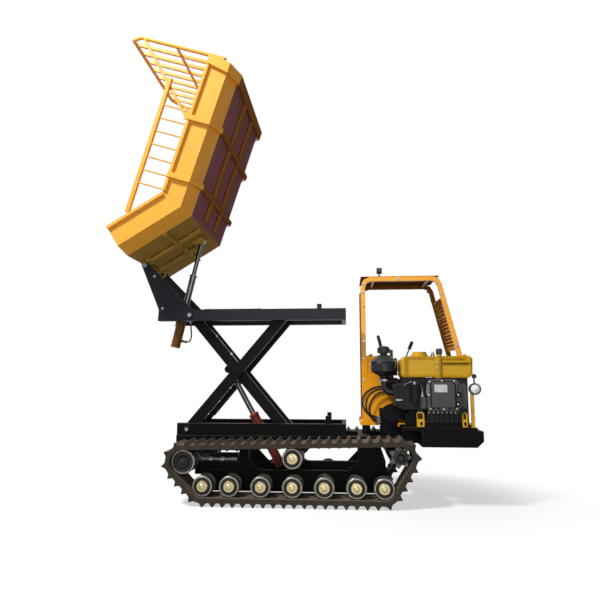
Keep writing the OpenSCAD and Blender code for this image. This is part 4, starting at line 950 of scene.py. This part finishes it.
regions(dress("gear_cover", cover_iron), pipe_steel, lambda c, n: c.y < cover_y - 1
        and any(math.hypot(c.x - shift - x, c.z - z) < head_r for x, z in cover_heads))
cover_slots = {"cover_slot": (1196, 980, 1070, 9, 2, pipe_steel),
               "cover_slot_hollow": (1196, 988, 1062, 5, 2.5, engine_iron),
               "cover_hook": (1462, 1024, 1078, 4, 3, engine_iron)}
for name, (x, low, high, half, depth, look) in cover_slots.items():
    slot = [(x - half, low + half), (x - half / 2, low), (x + half / 2, low), (x + half, low + half),
            (x + half, high - half), (x + half / 2, high), (x - half / 2, high), (x - half, high - half)]
    fit(plate(name, slot, cover_y - depth, cover_in, 0.4), look)
for k in range(4):
    left = 1252 + 46 * k
    rib = [(left, 846), (left + 22, 846), (left + 22, 872), (left, 872)]
    fit(plate(f"cover_rib_{k + 1}", rib, cover_y - 11, cover_in, 4), cover_iron)
aluminium = zinc_plate("brushed_aluminium", "#A9A9A6", 0.5, "#7E7E7C")
blank = [(1252, 1004), (1364, 1004), (1364, 1070), (1252, 1070)]
blank_y = field_y - 1.6
fit(plate("blank_plate", blank, blank_y, field_y + 1, 0.6), aluminium)
bolts("plate_screws", [(x, blank_y, z) for x in (1259, 1357) for z in (1011, 1063)], 5)
plug_rings = [(0, 12), (5, 12), (8, 9), (8, 3)]
for k, (x, z, d, depth) in enumerate(((1455, 985, 44, 22), (1452, 905, 36, 16))):
    rings = [(0, d * 0.40), (0, d * 0.62), (7, d * 0.62), (9, d * 0.56), (9, d * 0.40), (1, d * 0.34)]
    ring = lathe(f"cover_port_{k + 1}", rings, at(x, cover_y - depth, z), (0, -1, 0), 28)
    fit(ring, engine_iron)
    plug = lathe(f"port_plug_{k + 1}", plug_rings, at(x - 2, cover_y - depth, z - 2), (0, -1, 0), 6)
    fit(plug, zinc)

# Fuel tank and radiator hood. Two pressed sheet housings sit side by side on the crank case under a steel
# strap. They are sprayed lemon yellow and rounded at every edge, with filler caps on top.
# The pale lemon on upward faces is dust and also a painted highlight on the tops of tank and hood.
tank_enamel = coated_steel("lemon_tank_enamel", "#C99A10", chip="#7C6C3C", roughness=0.32, wear=0.05,
                           dust="#D9B850", dusty=0.3, gloss=0.16, edge=44)
dress("fuel_tank", tank_enamel)
dress("radiator_hood", tank_enamel)
cap_plastic = moulded_plastic("black_cap_plastic", "#161618", 0.36)
cap_rings = [(0, 25), (2, 29), (10, 29), (12, 26), (14, 29), (46, 29), (52, 25), (54, 12), (54.5, 2)]
filler_cap = lathe("radiator_cap", cap_rings, at(1335, -440, 1340), (0, 0, 1), 32)
fit(filler_cap, cap_plastic)
float_rings = [(0, 15), (3, 20), (22, 20), (27, 14), (44, 11), (50, 8), (52, 2)]
fit(lathe("level_float", float_rings, at(1278, -440, 1316), (0, 0, 1), 28), zinc)
strap_y = -618
strap = [(1262, 1132), (1272, 1122), (1312, 1122), (1322, 1132), (1322, 1314), (1262, 1314)]
fit(plate("tank_strap", strap, strap_y, -608, 1.2), tank_enamel)
bolts("strap_bolts", [(1281, strap_y, z) for z in (1214, 1262)], 11)

# Air cleaner. A pressed oil-bath bowl with a stepped lid stands on a bent inlet pipe beside the cylinder
# head. It is black enamelled steel, with three spring clips round its lid.
cleaner_enamel = coated_steel("black_cleaner_enamel", "#1B1C20", roughness=0.34, wear=0.3, dusty=0.3,
                              gloss=0.2)
dress("air_cleaner", cleaner_enamel)
cleaner_axis = (832, -450)
clip_spots = [(120, 1215), (132, 1240), (132, 1262), (122, 1284)]
for k, turn in enumerate((200, 320, 80)):
    c, s = math.cos(math.radians(turn)), math.sin(math.radians(turn))
    p = [at(cleaner_axis[0] + r * c, cleaner_axis[1] + r * s, z) for r, z in clip_spots]
    fit(curve_piece(f"cleaner_clip_{k + 1}", bend(p), 5), zinc)

# Fuel system. A sheet-metal filter bowl hangs from its head beside the cylinder and feeds a small plunger
# pump. Rubber lines run from the tank to the filter and the pump, and a steel pipe goes up to the injector.
dress("fuel_filter", engine_iron)
pump = [(1128, 860), (1176, 860), (1184, 872), (1184, 952), (1170, 966), (1136, 966), (1128, 955)]
fit(plate("fuel_pump", pump, -612, -585, 3), flywheel_iron)
brass = zinc_plate("yellow_brass", "#C9A24B", 0.3)
up = (0, 0, 1)
fittings = {
    "pump_delivery": ((1154, -598, 964), up, 6, zinc,
                      [(0, 17), (0, 19), (16, 19), (16, 13), (34, 13), (34, 9), (44, 8)]),
    "filter_head_nut": ((1088, -606, 1071), up, 6, zinc, [(0, 21), (12, 21), (15, 18), (15, 4)]),
    "decompressor_stud": ((925, -552, 932), (1, 0, 0), 20, zinc,
                          [(0, 9), (0, 13), (34, 13), (34, 8), (96, 8), (100, 6)]),
    "inlet_collar": ((*cleaner_axis, 1098), up, 32, zinc, [(0, 50), (0, 53), (16, 53), (16, 50)]),
    "filter_bleed_screw": ((1088, -606, 1086), up, 6, brass, [(0, 9), (8, 9), (8, 6), (14, 5)]),
}
for name, (place, axis, steps, look, rings) in fittings.items():
    fit(lathe(name, rings, at(*place), axis, steps), look)
fuel_lines = {
    "tank_line": (9, braided_rubber,
                  [(1132, -590, 1136), (1132, -600, 1105), (1122, -604, 1084), (1106, -604, 1062)]),
    "filter_line": (9, braided_rubber,
                    [(1072, -608, 1060), (1040, -640, 1030), (1090, -640, 930), (1132, -612, 900)]),
    "injection_pipe": (7, pipe_steel,
                       [(1154, -598, 1008), (1154, -598, 1100), (1060, -600, 1118), (996, -560, 1060)]),
    "return_line": (6, braided_rubber,
                    [(1190, -628, 1060), (1168, -640, 1020), (1120, -632, 1090), (1070, -600, 1110)]),
}
for name, (d, look, spots) in fuel_lines.items():
    line = curve_piece(name, bend([at(*spot) for spot in spots]), d)
    fit(line, look)

# Headlamp. A black pressed shell on a yellow flat post at the front corner of the engine base, with a clear
# fluted lens in a deep black rim, and a black knob on its stay.
post_top = 990
regions(dress("headlamp", lamp_black), feet_enamel, lambda c, n: c.z < post_top)


def lens_glass(name):
    """Pressed lamp glass: clear, with vertical flutes that break up what lies behind it."""
    material, tree, place = start_material(name)
    flutes = add(tree, "TexWave", pattern(place, 20, Distortion=0.0), bands_direction="X").outputs["Fac"]
    skin = {"Height": flutes, "Strength": 0.5, "Distance": 1.0 * MM}
    fill(tree, tree.nodes["Principled BSDF"], {
        "Base Color": linear("#F6F8F8"),
        "Roughness": 0.06,
        "Normal": add(tree, "Bump", skin).outputs[0],
        "IOR": 1.5,
        "Transmission Weight": 0.25,
    })
    return material


lamp_face = at(1608, -604, 1032)
rim_rings = [(-60, 43.5), (-58, 47), (-20, 51), (4, 51), (6, 47), (6, 39)]
fit(lathe("headlamp_rim", rim_rings, lamp_face, (0, -1, 0), 44), lamp_black)
knob_rings = [(0, 6), (3, 15), (12, 22), (24, 22), (33, 16), (38, 4)]
knob = lathe("headlamp_knob", knob_rings, at(1610, -574, 1124), (0, 0, 1), 28)
fit(knob, lamp_black)
lens_rings = [(0, 39), (5, 39), (9, 33), (12, 22), (13.5, 8), (13.6, 1)]
glass = lens_glass("lamp_glass")
fit(lathe("headlamp_lens", lens_rings, lamp_face, (0, -1, 0), 44), glass)
